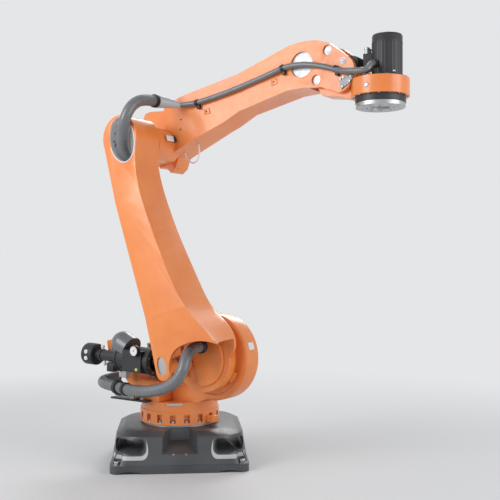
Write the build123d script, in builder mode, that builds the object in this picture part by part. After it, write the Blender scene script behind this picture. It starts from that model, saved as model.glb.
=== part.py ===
from build123d import *
import os
from math import atan2, cos, degrees, hypot, pi, radians, sin

os.makedirs("parts", exist_ok=True)

# A floor-mounted palletising robot arm with five driven axes and a balancing cylinder.
# Millimetres. The origin is on the floor under the first axis, +Z up, and the base
# frame's sides run along X and Y. At rest the robot is turned about the first axis.

# Stance at rest, in degrees
stance_turn = 40.0
link_lean = 15.8
arm_rise = 14.4

# Axis distances
shoulder_reach = 350.0
shoulder_height = 675.0
link_length = 1350.0
arm_length = 1250.0
wrist_reach = 218.0

# Clearances and overruns
seat_gap = 0.3
side_gap = 5.0
overrun = 10.0

# Base frame
base_width = 830.0
base_corner = 60.0
band_height = 48.0
band_step = 8.0
body_corner = 95.0
shoulder_rise = 212.0
shoulder_step = 29.0
shoulder_width = base_width - 2 * shoulder_step
shoulder_corner = 190.0
base_height = 238.0
top_step = 70.0
top_width = base_width - 2 * top_step
top_corner = 200.0
pocket_width = 170.0
pocket_height = 76.0
pocket_inset = 117.0
pocket_offset = base_width / 2 - pocket_inset
pocket_middle = 158.0
pocket_corner = 24.0
mouth_flare = 16.0
mouth_depth = 40.0
niche_width = 224.0
niche_floor = 104.0
niche_back_width = 116.0
niche_back_floor = 168.0
niche_depth = 150.0
foot_arch_width = 150.0
foot_arch_height = 14.0
anchor_inset = 43.0
anchor_offset = base_width / 2 - anchor_inset
anchor_hole = 26.0
anchor_pocket = 62.0
ring_radius = 236.0
column_floor = 251.0
panel_width = 104.0
panel_thickness = 8.0
plug_radius = 17.0
plug_length = 26.0

# Rotating column
drum_radius = 250.0
drum_rim_height = 82.0
drum_step = 7.0
drum_height = 136.0
rim_pocket_count = 18
rim_pocket_width = 36.0
rim_pocket_height = 48.0
rim_pocket_depth = 24.0
rim_pocket_lift = 12.0
ear_radius = 262.0
ear_far = -5.0
ear_near = 119.0
ear_edge = 16.0
neck_far = -150.0
neck_rear = 35.0
neck_drop = 75.0
neck_top = shoulder_height - neck_drop
horn_near = 244.0
trunnion_reach = -300.0
trunnion_drop = 15.0
trunnion_height = shoulder_height - trunnion_drop
trunnion_radius = 24.0
stop_lug_width = 60.0
turn_stop_turn = -43.0
turn_stop_lift = 8.0
turn_stop_height = 42.0
ear_low_turn = -31.0
ear_high_turn = 140.0
horn_half = 84.0
horn_edge = 24.0
horn_back = 112.0
trunnion_collar = 14.0

# Motors
turn_motor_box_turn = 200.0
raised_box_turn = -90.0
wrist_motor_box_turn = 190.0
motor_step = 14.0
motor_radius = 84.0
motor_flange_thickness = 22.0
shoulder_motor_length = 205.0
turn_motor_length = 390.0
turn_motor_reach = -138.0
turn_motor_side = -20.0
motor_box_width = 70.0
motor_box_depth = 44.0
motor_box_height = 90.0
motor_box_lift = 34.0

# Shoulder joint
shoulder_ring_radius = 186.0
shoulder_ring_near = 151.0
hub_radius = 200.0
hub_near = 215.0
hub_cover_radius = 165.0
hub_cover_thickness = 16.0
stop_nose = 26.0

# Link arm
link_near_low = 450.0
link_near_high = 510.0
link_far_low = 190.0
link_far_high = 304.0
link_rear = 150.0
link_wall = 24.0
port_half_width = 96.0
port_half_height = 138.0
port_floor = 338.0
slot_top = 470.0
slot_far = 238.0
slot_near = 424.0
pin_radius = 115.0
pin_diameter = 44.0
leg_half = 50.0
leg_drop = 84.0
# Outlines of the link arm as shares: of the hub radius across, and of the link length and the hub
# radius along, so that the lower end keeps to the shoulder and the upper end to the elbow
link_hollow_shares = (
    (0.86, 0, 0.825), (0.64, 0, 1.475), (0.39, 0.3, 0.375), (0.23, 0.5, 0.125), (0.13, 0.7, 0.025),
    (0.15, 1, -1.05), (0, 1, -0.8), (-0.5, 1, -0.8),
)
link_far_shares = (
    (1, 0, -0.2), (1.28, 0, 0.3), (1.17, 0, 0.725), (0.81, 0, 1.31), (0.54, 0.3, 0.375),
    (0.36, 0.5, 0.125), (0.25, 0.7, 0.025), (0.31, 1, -0.85), (0.51, 1, -0.25),
)
link_near_shares = (
    (1.75, 0, -0.04), (1.49, 0, 0.31), (1.11, 0, 0.88), (0.76, 0, 1.475), (0.5, 0.3, 0.375),
    (0.35, 0.5, 0.125), (0.25, 0.7, 0.025), (0.31, 1, -0.85), (0.51, 1, -0.25),
)
link_crown_shares = ((0.51, 1, -0.25), (-0.05, 1, 0.75), (-0.75, 1, -0.025))
link_arch_shares = ((-0.15, 0, 0.21), (0.3, 0, 0.42), (1.03, 0, 0.395), (1.8, 0, 0.03))
hub_top_share = 0.3
link_flare_low_share = 0.75
link_flare_high_share = -0.85
link_bend_low_share = 1.5
link_bend_high_share = -1.75
link_inner_top_share = -0.75
link_over_share = 1.25
link_back_top_share = -1.0
cap_half_width = 33.0
cap_half_height = 56.0
cap_depth = 14.0
liner_thickness = 5.0

# Upper arm
elbow_flange_radius = 118.0
arm_half_root = 150.0
arm_far_root = 60.0
cheek_near = 96.0
lug_half = 60.0
arm_half_tip = 100.0
# Outlines of the upper arm as shares: of the arm length along, and of the tip's half width
# along and up, so that the rear keeps to the elbow and the front to the wrist
arm_root_shares = ((0, -1.27, -0.84), (0, -1.45, 0), (0, -1.12, 1))
arm_top_shares = (
    (0, -1.12, 1), (0, -0.3, 2), (0, 0.4, 2.4), (0, 2.04, 2.47), (0.5, 0.2, 2.43), (1, -2.68, 2.62)
)
arm_hump_shares = ((1, -2.68, 2.62), (1, -1.65, 2.5), (1, -0.62, 2.16))
arm_slope_shares = ((1, -0.62, 2.16), (1, 0.02, 1.72), (1, 0.52, 1.08), (1, 1.02, 0.4))
arm_nose_shares = ((1, 1.02, 0.4), (1, 0.86, -0.74), (1, -0.12, -1.12))
arm_under_shares = (
    (1, -0.12, -1.12), (1, -1.13, -0.4), (1, -2.19, -0.03), (1, -3.29, 0.2), (0.5, -0.34, 0.24),
    (0.5, -1.59, -0.08), (0, 1.23, -0.6), (0, -0.08, -0.84), (0, -1.27, -0.84),
)
arm_cheek_shares = (
    (0, -2, -2), (0, -0.08, -2), (0, -0.08, -0.84), (0, 0.09, -0.26), (0, 0.4, 0.62), (0, 0.63, 1.53),
    (0, 0.8, 3), (0, -2, 3),
)
arm_lug_shares = (
    (0, -1.27, -0.8), (0, -1.28, -0.95), (0, -0.75, -1.05), (0, -0.45, -1.5), (0, -0.01, -1.32),
    (0, 0.44, -0.7),
)
big_recess_share = (1, -1.96, 1.26)
small_recess_shares = ((1, -0.22, 1.41), (1, -1.29, 0.08))
wrist_bracket_shares = ((0.1, -0.4), (0.98, -0.46), (0.92, -0.66), (0.72, -0.86), (0.1, -1.04))
taper_near_shares = ((0, -2), (0, 2.6), (0.5, -0.05), (1, 1.5))
taper_far_shares = ((1, 1.5), (0.5, 2.75), (0, 4), (0, -2))
fork_half = 68.0
fork_radius = 196.0
elbow_motor_radius = 64.0
elbow_motor_length = 150.0
elbow_motor_ahead = 70.0
elbow_motor_up = 120.0
big_recess_radius = 72.0
small_recess_radius = 28.0
recess_depth = 18.0
flange_step = 12.0
elbow_rim = 36.0
bracket_thickness = 8.0

# Wrist
tongue_half = 62.0
tongue_radius = 100.0
tongue_hub_radius = 64.0
# Outline of the tongue as shares of its radius, from its top and from its underside
tongue_top_shares = ((0, 0.98), (0.72, 0.7))
tongue_drop_share = 1.32
tongue_heel_share = 0.6
tongue_low_shares = ((0, -1.25), (-1.1, -1.08), (-1.38, -0.6), (-0.6, -0.1))
housing_radius = 157.0
housing_top = -24.0
housing_low = -145.0
shoulder_block = 98.0
block_half = 126.0
cheek_clearance = 120.0
gear_radius = 137.0
gear_height = 36.0
flange_radius = 134.0
flange_face = -203.0
flange_bore = 50.0
flange_recess = 12.0
flange_bolt_radius = 100.0
flange_bolt_count = 12
flange_bolt_hole = 11.0
wrist_motor_radius = 83.0
wrist_motor_height = 214.0
wrist_motor_shift = 28.0
wrist_motor_side = -24.0

cover_ahead = 66.0
cover_up = 12.0
cover_radius = 78.0
cover_half = 58.0
cover_front = 109.0

# Balancing cylinder
balancer_plane = 330.0
barrel_radius = 80.0
barrel_front = 392.0
barrel_back = 110.0
barrel_bore = 56.0
bore_depth = 215.0
tube_radius = 34.0
end_cap_radius = 68.0
end_cap_length = 92.0
end_cap_back = 190.0
rod_radius = 24.0
rod_length = 275.0
eye_radius = 46.0
eye_half = 26.0
accumulator_radius = 76.0
accumulator_length = 74.0
gauge_radius = 32.0
gauge_thickness = 26.0
block_middle = 270.0
block_length = 150.0
block_height = 130.0
block_depth_in = 20.0
block_proud = 8.0
accumulator_shift = 190.0
accumulator_lift = 54.0
accumulator_ahead = trunnion_reach + accumulator_shift
accumulator_up = trunnion_height + accumulator_lift
accumulator_tilt = -24.0
gauge_along = 296.0
gauge_up = 62.0

# Hoses
bend_share = 0.45
main_hose_radius = 34.0
thin_hose_radius = 16.0
cable_radius = 5.0
clip_width = 26.0
clip_wall = 9.0
bracket_reach = -120.0
bracket_wall = 12.0
bracket_foot = 56.0
sleeve_wall = 5.0


def robot_point(ahead, near=0.0, up=0.0):
    """A place on the turned robot: ahead of the first axis, toward its near side, above the floor."""
    turn = radians(stance_turn)
    return Vector(
        ahead * cos(turn) - near * sin(turn), -ahead * sin(turn) - near * cos(turn), up
    )


def side_plane(ahead, up, tilt=0.0):
    """A plane along the robot: local x ahead and tilted up, local y up, local z to the near side."""
    rise = radians(tilt)
    turn = radians(stance_turn)
    along = (cos(turn) * cos(rise), -sin(turn) * cos(rise), sin(rise))
    return Plane(origin=robot_point(ahead, 0.0, up), x_dir=along, z_dir=(-sin(turn), -cos(turn), 0))


def level_plane(ahead, near, up):
    """A level plane on the robot: local x ahead, local y to the far side."""
    return Plane(origin=robot_point(ahead, near, up), x_dir=robot_point(1.0), z_dir=(0, 0, 1))


def shifted(frame, x, y, z):
    """The same plane with its origin at a local place."""
    return Plane(origin=frame.from_local_coords((x, y, z)), x_dir=frame.x_dir, z_dir=frame.z_dir)


def facing_along(frame, x, y, z):
    """A plane at a local place that faces along the frame's x: local x to its far side, local y up."""
    return Plane(origin=frame.from_local_coords((x, y, z)), x_dir=-frame.z_dir, z_dir=frame.x_dir)


def facing_up(frame, x, y, z):
    """A plane at a local place that faces along the frame's y: local x ahead, local y to its far side."""
    return Plane(origin=frame.from_local_coords((x, y, z)), x_dir=frame.x_dir, z_dir=frame.y_dir)


def on_link(shares):
    """Places on the link arm from shares of the hub radius, the link length and the hub radius."""
    return [
        (across * hub_radius, along * link_length + more * hub_radius)
        for across, along, more in shares
    ]


def on_arm(shares):
    """Places on the upper arm from shares of its length and of its tip's half width."""
    return [(along * arm_length + more * arm_half_tip, up * arm_half_tip) for along, more, up in shares]


def scaled(shares, size):
    """Places from shares of one size."""
    return [(across * size, up * size) for across, up in shares]


def write(builder, name):
    """Label one finished piece and write its file."""
    builder.part.label = name
    export_step(builder.part, f"parts/{name}.step")


def smooth_path(points, name):
    """Straight runs joined by tangent arcs through a hose's points, with its radii printed."""
    places = [Vector(*p) for p in points]
    radii = []
    for before, here, after in zip(places, places[1:], places[2:]):
        turn = radians((here - before).get_angle(after - here))
        run = min((here - before).length, (after - here).length)
        radii.append(bend_share * run / sin(turn / 2) * cos(turn / 2))
    print(name, "radii", [round(r) for r in radii])
    return FilletPolyline(*places, radius=radii)


def report_hose(name, path, hose, radius):
    """Print a hose's length along its middle and the length its volume stands for."""
    length = sum(edge.length for edge in path.edges())
    print(name, "length", round(length), "from its volume", round(hose.part.volume / (pi * radius**2)))


column = side_plane(0.0, 0.0)
link = side_plane(shoulder_reach, shoulder_height, link_lean)
elbow_ahead = shoulder_reach - link_length * sin(radians(link_lean))
elbow_up = shoulder_height + link_length * cos(radians(link_lean))
arm = side_plane(elbow_ahead, elbow_up, arm_rise)
wrist_ahead = elbow_ahead + arm_length * cos(radians(arm_rise))
wrist_up = elbow_up + arm_length * sin(radians(arm_rise))
wrist = side_plane(wrist_ahead, wrist_up)
pin_ahead = shoulder_reach - pin_radius * cos(radians(link_lean))
pin_up = shoulder_height - pin_radius * sin(radians(link_lean))
barrel_tilt = degrees(atan2(pin_up - trunnion_height, pin_ahead - trunnion_reach))
pin_distance = hypot(pin_up - trunnion_height, pin_ahead - trunnion_reach)
barrel = side_plane(trunnion_reach, trunnion_height, barrel_tilt)


# Base frame, a cast block with fork pockets and a niche in front and behind
with BuildPart() as base_frame:
    with BuildSketch():
        RectangleRounded(base_width, base_width, base_corner)
    extrude(amount=band_height)
    with BuildSketch(Plane.XY.offset(band_height)):
        RectangleRounded(base_width - 2 * band_step, base_width - 2 * band_step, body_corner)
    with BuildSketch(Plane.XY.offset(shoulder_rise)):
        RectangleRounded(shoulder_width, shoulder_width, shoulder_corner)
    loft()
    with BuildSketch(Plane.XY.offset(shoulder_rise)):
        RectangleRounded(shoulder_width, shoulder_width, shoulder_corner)
    with BuildSketch(Plane.XY.offset(base_height)):
        RectangleRounded(top_width, top_width, top_corner)
    loft()
    for side in (-1, 1):
        pocket = Plane.XZ.shift_origin((side * pocket_offset, 0, pocket_middle))
        with BuildSketch(pocket):
            RectangleRounded(pocket_width, pocket_height, pocket_corner)
        extrude(amount=base_width, both=True, mode=Mode.SUBTRACT)
        for end in (-1, 1):
            edge = -end * base_width / 2
            with BuildSketch(pocket.offset(-edge)):
                RectangleRounded(
                    pocket_width + 2 * mouth_flare, pocket_height + 2 * mouth_flare,
                    pocket_corner + mouth_flare
                )
            with BuildSketch(pocket.offset(-edge * (1 - 2 * mouth_depth / base_width))):
                RectangleRounded(pocket_width, pocket_height, pocket_corner)
            loft(mode=Mode.SUBTRACT)
        with BuildSketch(Plane.XZ.shift_origin((side * pocket_offset, 0, 0))):
            Ellipse(foot_arch_width / 2, foot_arch_height)
        extrude(amount=base_width, both=True, mode=Mode.SUBTRACT)
    for end in (-1, 1):
        mouth_rise = base_height + overrun - niche_floor
        back_rise = base_height + overrun - niche_back_floor
        with BuildSketch(Plane.XZ.offset(end * base_width / 2)):
            with Locations((0, niche_floor + mouth_rise / 2)):
                Rectangle(niche_width, mouth_rise)
        with BuildSketch(Plane.XZ.offset(end * (base_width / 2 - niche_depth))):
            with Locations((0, niche_back_floor + back_rise / 2)):
                Rectangle(niche_back_width, back_rise)
        loft(mode=Mode.SUBTRACT)
    with BuildSketch(Plane.XY.offset(band_height)):
        with GridLocations(2 * anchor_offset, 2 * anchor_offset, 2, 2):
            Circle(anchor_pocket / 2)
    extrude(amount=base_height, mode=Mode.SUBTRACT)
    with BuildSketch():
        with GridLocations(2 * anchor_offset, 2 * anchor_offset, 2, 2):
            Circle(anchor_hole / 2)
    extrude(amount=band_height, mode=Mode.SUBTRACT)
write(base_frame, "base_frame")

# Slewing ring between the base frame and the column
with BuildPart() as slewing_ring:
    with BuildSketch(Plane.XY.offset(base_height)):
        Circle(ring_radius)
    extrude(amount=column_floor - seat_gap - base_height)
write(slewing_ring, "slewing_ring")

# Plate with the cable sockets, in the rear niche
plate_height = base_height - niche_back_floor
with BuildPart() as socket_plate:
    rear = Plane.XZ.offset(niche_depth - base_width / 2)
    with BuildSketch(rear):
        with Locations((0, niche_back_floor + plate_height / 2)):
            Rectangle(panel_width, plate_height)
    extrude(amount=-panel_thickness)
    with BuildSketch(rear.offset(-panel_thickness)):
        with Locations((0, niche_back_floor + plate_height / 2)):
            with GridLocations(panel_width / 2, 0, 2, 1):
                Circle(plug_radius)
    extrude(amount=-plug_length)
write(socket_plate, "socket_plate")

drum_top_up = column_floor + drum_height

# Column casting: a drum, a neck and the big round ear that carries the shoulder
with BuildPart() as column_casting:
    with BuildSketch(Plane.XY.offset(column_floor)):
        Circle(drum_radius)
    extrude(amount=drum_rim_height)
    with BuildSketch(Plane.XY.offset(column_floor + drum_rim_height)):
        Circle(drum_radius - drum_step)
    extrude(amount=drum_height - drum_rim_height)
    with BuildSketch(Plane.XY.offset(column_floor + rim_pocket_lift)):
        with PolarLocations(drum_radius, rim_pocket_count):
            Rectangle(2 * rim_pocket_depth, rim_pocket_width)
    extrude(amount=rim_pocket_height, mode=Mode.SUBTRACT)
    with BuildSketch(column.offset(ear_far)):
        with Locations((shoulder_reach, shoulder_height)):
            Circle(ear_radius)
    extrude(amount=ear_near - ear_far)
    low_turn = radians(ear_low_turn)
    high_turn = radians(ear_high_turn)
    lower_corner = (
        shoulder_reach + ear_radius * cos(low_turn), shoulder_height + ear_radius * sin(low_turn)
    )
    upper_corner = (
        shoulder_reach + ear_radius * cos(high_turn), shoulder_height + ear_radius * sin(high_turn)
    )
    with BuildSketch(column.offset(ear_far)):
        with BuildLine():
            Polyline(
                (drum_radius - 2 * drum_step, drum_top_up), lower_corner, (shoulder_reach, shoulder_height),
                upper_corner, (-neck_rear, neck_top), (-neck_rear, drum_top_up), close=True,
            )
        make_face()
    extrude(amount=ear_near - ear_far)
    with BuildSketch(column.offset(neck_far)):
        with BuildLine():
            Polyline(
                (drum_radius / 2, drum_top_up),
                (shoulder_reach - ear_radius / 2, neck_top - ear_radius / 2),
                (shoulder_reach - ear_radius, neck_top), (0, neck_top), (0, drum_top_up), close=True,
            )
        make_face()
    extrude(amount=ear_far - neck_far)
    rounds = column_casting.edges().filter_by(GeomType.CIRCLE)
    chamfer(rounds.filter_by(lambda e: abs(e.radius - ear_radius) < seat_gap), ear_edge / 2)
write(column_casting, "column_casting")

# Rear horn of the column, which carries the balancing cylinder
with BuildPart() as rear_horn:
    with BuildSketch(column.offset(ear_near)):
        with BuildLine():
            Polyline(
                (trunnion_reach - horn_back, trunnion_height + horn_half),
                (trunnion_reach, trunnion_height + horn_half + horn_edge),
                (trunnion_reach + horn_half, trunnion_height + horn_edge),
                (-neck_rear - horn_half, neck_top - horn_half),
                (neck_rear, neck_top - horn_half), (neck_rear, drum_top_up),
                (-neck_rear - horn_back, drum_top_up),
                (trunnion_reach + horn_edge, trunnion_height - horn_half - horn_edge),
                (trunnion_reach - horn_half, trunnion_height - horn_half / 2), close=True,
            )
        make_face()
        fillet(vertices().group_by(Axis.X)[0], horn_edge / 2)
    extrude(amount=horn_near - ear_near)
write(rear_horn, "rear_horn")

# Shaft on which the balancing cylinder tilts
with BuildPart() as trunnion_shaft:
    with BuildSketch(column.offset(horn_near)):
        with Locations((trunnion_reach, trunnion_height)):
            Circle(trunnion_radius)
    extrude(amount=balancer_plane - tube_radius - trunnion_collar - seat_gap - horn_near)
write(trunnion_shaft, "trunnion_shaft")


def build_motor(plane, radius, length, box_lift, box_turn):
    """A motor standing on a plane: a square-cornered flange, a body, a rear cap and a connector box."""
    with BuildPart() as motor:
        with BuildSketch(plane):
            RectangleRounded(2 * radius + motor_step, 2 * radius + motor_step, radius / 2)
        extrude(amount=motor_flange_thickness)
        with BuildSketch(plane):
            Circle(radius)
        extrude(amount=length)
        end_face = motor.faces().sort_by(lambda f: (f.center() - plane.origin).dot(plane.z_dir))[-1]
        chamfer(end_face.edges(), motor_step / 2)
        turn = radians(box_turn)
        outward = plane.x_dir * cos(turn) + plane.y_dir * sin(turn)
        box_seat = plane.origin + plane.z_dir * box_lift + outward * radius
        with BuildSketch(Plane(origin=box_seat, x_dir=outward, z_dir=plane.z_dir)):
            Rectangle(2 * motor_box_depth, motor_box_width)
        extrude(amount=motor_box_height)
    return motor


turn_motor = build_motor(
    level_plane(turn_motor_reach, turn_motor_side, drum_top_up), motor_radius, turn_motor_length,
    turn_motor_length - 2 * motor_box_height, turn_motor_box_turn,
)
write(turn_motor, "turn_motor")
shoulder_motor_seat = side_plane(shoulder_reach, shoulder_height).offset(ear_far)
shoulder_motor = build_motor(
    Plane(
        origin=shoulder_motor_seat.origin, x_dir=shoulder_motor_seat.x_dir,
        z_dir=-shoulder_motor_seat.z_dir,
    ),
    motor_radius, shoulder_motor_length, motor_box_lift, raised_box_turn,
)
write(shoulder_motor, "shoulder_motor")

# Shoulder gear ring on the ear, with the nose that stops the link arm
with BuildPart() as shoulder_ring:
    with BuildSketch(column.offset(ear_near)):
        with Locations((shoulder_reach, shoulder_height)):
            Circle(shoulder_ring_radius)
            with Locations(Location((0, 0), ear_low_turn)):
                Rectangle(
                    shoulder_ring_radius + stop_nose, stop_lug_width, align=(Align.MIN, Align.CENTER)
                )
    extrude(amount=shoulder_ring_near - ear_near)
write(shoulder_ring, "shoulder_ring")

# Buffer on the drum that limits the first axis
with BuildPart() as turn_stop:
    with BuildSketch(Plane.XY.offset(column_floor + turn_stop_lift)):
        with Locations(Location((0, 0), turn_stop_turn)):
            with Locations((drum_radius - drum_step, 0)):
                Rectangle(stop_lug_width, stop_lug_width, align=(Align.MIN, Align.CENTER))
        Circle(drum_radius, mode=Mode.SUBTRACT)
    extrude(amount=turn_stop_height)
    fillet(turn_stop.edges().filter_by(Axis.Z).sort_by(Axis.X)[-1], drum_step)
write(turn_stop, "turn_stop")

# Link arm: a hollow casting, open under its arch, along its back and at its top port
link_span = link_near_high - link_far_low
flare_low = link_flare_low_share * hub_radius
flare_high = link_length + link_flare_high_share * hub_radius
bend_low = link_bend_low_share * hub_radius
bend_high = link_length + link_bend_high_share * hub_radius
inner_top = link_length + link_inner_top_share * hub_radius
over_top = link_length + link_over_share * hub_radius
leg_low = (-pin_radius, -leg_drop)
leg_back = (-pin_radius - leg_half, leg_half - leg_drop)
leg_front = (leg_half - pin_radius, leg_half - leg_drop)
link_far_points = on_link(link_far_shares)
link_near_points = on_link(link_near_shares)
link_crown_points = on_link(link_crown_shares)
link_arch_points = on_link(link_arch_shares)
with BuildPart() as link_hollow:
    with BuildSketch(link.offset(link_far_low)):
        with BuildLine():
            Polyline(
                (link_wall - link_rear, -leg_drop - overrun), (hub_radius, -leg_drop - overrun),
                (hub_radius - link_wall, hub_top_share * hub_radius), *on_link(link_hollow_shares),
                (link_wall - link_rear, link_length + link_back_top_share * hub_radius), close=True,
            )
        make_face()
    extrude(amount=link_span)
    front = facing_along(link, -link_length, 0, 0)
    with BuildSketch(front):
        with BuildLine():
            Polyline(
                (-link_far_low - link_wall, -leg_drop - overrun), (-link_far_low - link_wall, flare_low),
                (-link_far_high - link_wall, flare_high), (-link_far_high - link_wall, inner_top),
                (link_wall - link_near_high, inner_top), (link_wall - link_near_high, bend_high),
                (link_wall - link_near_low, bend_low), (link_wall - link_near_low, -leg_drop - overrun),
                close=True,
            )
        make_face()
    extrude(amount=2 * link_length, mode=Mode.INTERSECT)

with BuildPart() as link_arm:
    with BuildSketch(link.offset(link_far_low)):
        with BuildLine():
            ThreePointArc(leg_back, leg_low, leg_front)
            Line(leg_front, link_far_points[0])
            Spline(*link_far_points)
            ThreePointArc(*link_crown_points)
            Line(link_crown_points[-1], leg_back)
        make_face()
    with BuildSketch(link.offset(link_near_low)):
        with BuildLine():
            ThreePointArc(leg_back, leg_low, leg_front)
            Line(leg_front, link_near_points[0])
            Spline(*link_near_points)
            ThreePointArc(*link_crown_points)
            Line(link_crown_points[-1], leg_back)
        make_face()
    loft()
    near_face = link_arm.faces().sort_by(lambda f: (f.center() - link.origin).dot(link.z_dir))[-1]
    extrude(near_face, amount=link_near_high - link_near_low)
    with BuildSketch(front):
        with BuildLine():
            Polyline(
                (-link_far_low, -leg_drop - overrun), (-link_far_low, flare_low),
                (-link_far_high, flare_high),
                (-link_far_high, over_top), (-link_near_high, over_top), (-link_near_high, bend_high),
                (-link_near_low, bend_low), (-link_near_low, -leg_drop - overrun), close=True,
            )
        make_face()
    extrude(amount=2 * link_length, mode=Mode.INTERSECT)
    with BuildSketch(link.offset(shoulder_ring_near + seat_gap)):
        Circle(hub_radius)
    extrude(amount=hub_near - shoulder_ring_near - seat_gap)
    add(link_hollow.part, mode=Mode.SUBTRACT)
    with BuildSketch(link.offset(hub_near)):
        with BuildLine():
            ThreePointArc(leg_front, link_arch_points[0], link_arch_points[1])
            ThreePointArc(*link_arch_points[1:])
            Polyline(
                link_arch_points[-1], (2 * hub_radius, -leg_drop - overrun),
                (leg_front[0], -leg_drop - overrun), leg_front,
            )
        make_face()
    extrude(amount=link_near_high - hub_near, mode=Mode.SUBTRACT)
    with BuildSketch(link.offset(link_near_high)):
        with Locations((0, link_length)):
            Ellipse(port_half_width, port_half_height)
    extrude(amount=port_floor - link_near_high, mode=Mode.SUBTRACT)
    with BuildSketch(link.offset(slot_far)):
        with Locations((-link_rear, (slot_top - leg_drop) / 2)):
            Rectangle(3 * link_wall, slot_top + leg_drop + overrun)
    extrude(amount=slot_near - slot_far, mode=Mode.SUBTRACT)
    for inner, outer in (
        (link_far_low, balancer_plane - eye_half - side_gap),
        (balancer_plane + eye_half + side_gap, link_near_low)
    ):
        with BuildSketch(link.offset(inner)):
            with Locations((-pin_radius, 0)):
                Circle(leg_half)
        extrude(amount=outer - inner)
    with BuildSketch(link.offset(link_near_low - cap_depth)):
        with Locations((-pin_radius, 0)):
            Ellipse(cap_half_width, cap_half_height)
    extrude(amount=cap_depth + overrun, mode=Mode.SUBTRACT)
    with BuildSketch(link.offset(link_far_low)):
        with Locations((-pin_radius, 0)):
            Circle(pin_diameter / 2)
    extrude(amount=link_near_high - link_far_low, mode=Mode.SUBTRACT)
write(link_arm, "link_arm")

# Pin of the balancing cylinder, its cap, the hub cover and the pale liner behind the top port
with BuildPart() as balancer_pin:
    with BuildSketch(link.offset(link_far_low)):
        with Locations((-pin_radius, 0)):
            Circle(pin_diameter / 2)
    extrude(amount=link_near_low - cap_depth - link_far_low)
write(balancer_pin, "balancer_pin")
with BuildPart() as pin_cap:
    with BuildSketch(link.offset(link_near_low - cap_depth)):
        with Locations((-pin_radius, 0)):
            Ellipse(cap_half_width, cap_half_height)
    extrude(amount=cap_depth / 2)
write(pin_cap, "pin_cap")
with BuildPart() as hub_cover:
    with BuildSketch(link.offset(hub_near)):
        Circle(hub_cover_radius)
        with Locations((-pin_radius, 0)):
            Rectangle(2 * (leg_half + side_gap), 2 * hub_cover_radius, mode=Mode.SUBTRACT)
        with Locations((-2 * hub_cover_radius + leg_drop, 0)):
            Rectangle(2 * hub_cover_radius, 2 * hub_cover_radius, mode=Mode.SUBTRACT)
    extrude(amount=hub_cover_thickness)
    add(link_arm.part, mode=Mode.SUBTRACT)
    cover_rim = hub_cover.edges().group_by(lambda e: (e.center() - link.origin).dot(link.z_dir))[-1]
    chamfer(cover_rim, hub_cover_thickness / 3)
write(hub_cover, "hub_cover")
with BuildPart() as port_liner:
    with BuildSketch(link.offset(port_floor)):
        with Locations((0, link_length)):
            Ellipse(port_half_width, port_half_height)
    extrude(amount=liner_thickness)
write(port_liner, "port_liner")

# Upper arm casting
near_along = [along * arm_length + more * arm_half_tip for along, more in taper_near_shares]
far_along = [along * arm_length + more * arm_half_tip for along, more in taper_far_shares]
near_out = (-arm_half_root, -arm_half_root, -arm_half_tip, -arm_half_tip)
far_out = (arm_half_tip, arm_half_tip, arm_far_root, arm_far_root)
arm_near_taper = list(zip(near_along, near_out))
arm_far_taper = list(zip(far_along, far_out))
big_recess = on_arm([big_recess_share])
small_recesses = on_arm(small_recess_shares)
with BuildPart() as arm_casting:
    with BuildSketch(arm.offset(-arm_half_root)):
        with BuildLine():
            ThreePointArc(*on_arm(arm_root_shares))
            Polyline(*on_arm(arm_top_shares))
            ThreePointArc(*on_arm(arm_hump_shares))
            Polyline(*on_arm(arm_slope_shares))
            ThreePointArc(*on_arm(arm_nose_shares))
            Polyline(*on_arm(arm_under_shares))
        make_face()
    extrude(amount=2 * arm_half_root)
    with BuildSketch(facing_up(arm, 0, -2 * arm_half_root, 0)):
        with BuildLine():
            Polyline(*arm_near_taper, *arm_far_taper, close=True)
        make_face()
    extrude(amount=4 * arm_half_root, mode=Mode.INTERSECT)
    with BuildSketch(arm.offset(cheek_near)):
        with BuildLine():
            Polyline(*on_arm(arm_cheek_shares), close=True)
        make_face()
    extrude(amount=arm_half_root - cheek_near + overrun, mode=Mode.SUBTRACT)
    with BuildSketch(arm.offset(-lug_half)):
        with BuildLine():
            Polyline(*on_arm(arm_lug_shares), close=True)
        make_face()
    extrude(amount=2 * lug_half)
    with BuildSketch(arm.offset(-fork_half)):
        with Locations((arm_length, 0)):
            Circle(fork_radius)
    extrude(amount=2 * fork_half, mode=Mode.SUBTRACT)
    for face, way in ((arm_half_tip, -1), (-arm_half_tip, 1)):
        with BuildSketch(arm.offset(face)):
            with Locations(*big_recess):
                Circle(big_recess_radius)
            with Locations(*small_recesses):
                Circle(small_recess_radius)
        extrude(amount=way * recess_depth, mode=Mode.SUBTRACT)
write(arm_casting, "arm_casting")

# Steel covers on the floors of the round recesses
with BuildPart() as recess_covers:
    for face, way in ((arm_half_tip - recess_depth, 1), (recess_depth - arm_half_tip, -1)):
        with BuildSketch(arm.offset(face)):
            with Locations(*big_recess):
                Circle(big_recess_radius)
            with Locations(*small_recesses):
                Circle(small_recess_radius)
        extrude(amount=way * recess_depth / 3)
write(recess_covers, "recess_covers")

# Elbow gear flange that runs in the link arm's top, and the elbow motor on the far side
with BuildPart() as elbow_flange:
    with BuildSketch(arm.offset(cheek_near)):
        Circle(elbow_flange_radius - flange_step)
    extrude(amount=link_far_high - cheek_near - elbow_rim)
    add(arm_casting.part, mode=Mode.SUBTRACT)
    with BuildSketch(arm.offset(link_far_high - elbow_rim)):
        Circle(elbow_flange_radius)
    extrude(amount=elbow_rim - seat_gap)
write(elbow_flange, "elbow_flange")
elbow_motor = build_motor(
    Plane(
        origin=arm.from_local_coords((elbow_motor_ahead, elbow_motor_up, -arm_far_root)), x_dir=arm.x_dir,
        z_dir=-arm.z_dir,
    ),
    elbow_motor_radius, elbow_motor_length, motor_box_lift, raised_box_turn,
)
write(elbow_motor, "elbow_motor")

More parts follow.
